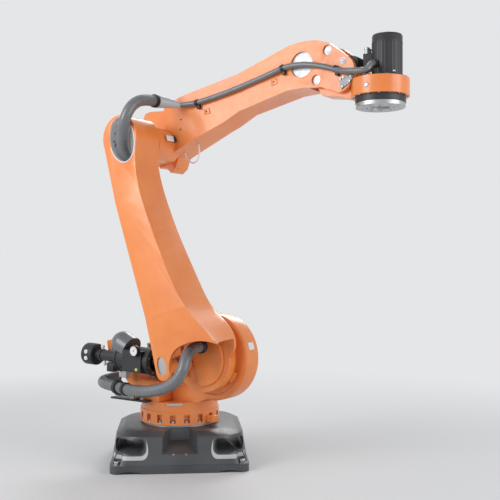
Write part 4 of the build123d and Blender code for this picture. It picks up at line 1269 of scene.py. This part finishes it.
@dataclass
class Studio:
    """The plain floor, soft lights and the camera."""

    lens: float = 58.53
    shift: float = 0.0271
    turn: float = 4.93
    stand: Place = (0.0, -5.228, 1.240)
    floor_half: float = 60.0
    fade: tuple[float, float] = (1.6, 4.6)
    backdrop: Colour = (0.78, 0.79, 0.80)

    def build(self) -> None:
        """Build the floor, the lights, the world and the camera."""
        self.floor()
        self.world()
        self.lamp("key", (-4.4, -2.9, 3.2), (0.1, -0.2, 1.2), 3.0, 180.0)
        self.lamp("fill", (4.6, -3.6, 2.6), (0.2, -0.2, 1.1), 3.0, 105.0)
        self.lamp("back", (1.5, 4.2, 4.2), (0.2, -0.2, 1.3), 2.6, 120.0)
        self.camera()

    def floor(self) -> None:
        """A pale floor that fades into the backdrop far from the machine."""
        shape = bmesh.new()
        bmesh.ops.create_grid(shape, x_segments=1, y_segments=1, size=self.floor_half)
        floor = mesh_object("floor", shape)
        material = bpy.data.materials.new("pale_floor")
        material.use_nodes = True
        nodes = material.node_tree.nodes
        links = material.node_tree.links
        shader = nodes["Principled BSDF"]
        shader.inputs["Base Color"].default_value = (0.70, 0.71, 0.72, 1)
        shader.inputs["Roughness"].default_value = 0.8
        haze = nodes.new("ShaderNodeEmission")
        haze.inputs["Color"].default_value = (*self.backdrop, 1)
        reach = nodes.new("ShaderNodeVectorMath")
        reach.operation = "LENGTH"
        links.new(nodes.new("ShaderNodeTexCoord").outputs["Object"], reach.inputs[0])
        fade = nodes.new("ShaderNodeMapRange")
        fade.interpolation_type = "SMOOTHSTEP"
        for socket, number in zip(("From Min", "From Max"), self.fade):
            fade.inputs[socket].default_value = number
        links.new(reach.outputs["Value"], fade.inputs["Value"])
        mix = nodes.new("ShaderNodeMixShader")
        links.new(fade.outputs["Result"], mix.inputs["Fac"])
        links.new(shader.outputs["BSDF"], mix.inputs[1])
        links.new(haze.outputs["Emission"], mix.inputs[2])
        links.new(mix.outputs["Shader"], nodes["Material Output"].inputs["Surface"])
        floor.data.materials.append(material)
        floor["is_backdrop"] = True

    def world(self) -> None:
        """A plain pale world that lights softly."""
        world = bpy.data.worlds.new("studio")
        bpy.context.scene.world = world
        world.use_nodes = True
        nodes = world.node_tree.nodes
        links = world.node_tree.links
        soft = nodes["Background"]
        soft.inputs["Color"].default_value = (0.95, 0.97, 1.0, 1)
        soft.inputs["Strength"].default_value = 0.40
        seen = nodes.new("ShaderNodeBackground")
        seen.inputs["Color"].default_value = (*self.backdrop, 1)
        path = nodes.new("ShaderNodeLightPath")
        mirrored = nodes.new("ShaderNodeMath")
        mirrored.operation = "MAXIMUM"
        links.new(path.outputs["Is Glossy Ray"], mirrored.inputs[0])
        links.new(path.outputs["Is Transmission Ray"], mirrored.inputs[1])
        either = nodes.new("ShaderNodeMath")
        either.operation = "MAXIMUM"
        links.new(path.outputs["Is Camera Ray"], either.inputs[0])
        links.new(mirrored.outputs["Value"], either.inputs[1])
        mix = nodes.new("ShaderNodeMixShader")
        links.new(either.outputs["Value"], mix.inputs["Fac"])
        links.new(soft.outputs["Background"], mix.inputs[1])
        links.new(seen.outputs["Background"], mix.inputs[2])
        links.new(mix.outputs["Shader"], nodes["World Output"].inputs["Surface"])

    @staticmethod
    def lamp(name: str, place: Place, aim: Place, size: float, power: float) -> None:
        """A square soft lamp aimed at a place."""
        light = bpy.data.lights.new(name, "AREA")
        light.shape = "SQUARE"
        light.size = size
        light.energy = power
        thing = placed(name, light)
        thing.location = place
        thing.rotation_euler = (Vector(aim) - Vector(place)).to_track_quat("-Z", "Y").to_euler()

    def camera(self) -> None:
        """The camera at the photograph's place and angle."""
        data = bpy.data.cameras.new("camera")
        data.lens = self.lens
        data.sensor_width = 36.0
        data.shift_y = self.shift
        thing = placed("camera", data)
        thing.location = self.stand
        thing.rotation_euler = (math.radians(90), 0, math.radians(-self.turn))
        bpy.context.scene.camera = thing


def main() -> None:
    """Build the machine's sub-assemblies and the studio in order."""
    logging.basicConfig(level=logging.INFO, format="%(message)s")
    cad_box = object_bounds()
    bpy.context.scene.view_settings.view_transform = "Standard"
    for assembly in (Studio(), Base(), Column(), Balancer(), LinkArm(), UpperArm(), Wrist(), Hoses()):
        assembly.build()
        LOG.info("%s built", type(assembly).__name__)
    visual_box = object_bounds()
    boxes = {"cad": cad_box, "visual": visual_box}
    {name: [list(corner) for corner in box] for name, box in boxes.items()}


if __name__ == "__main__":
    main()
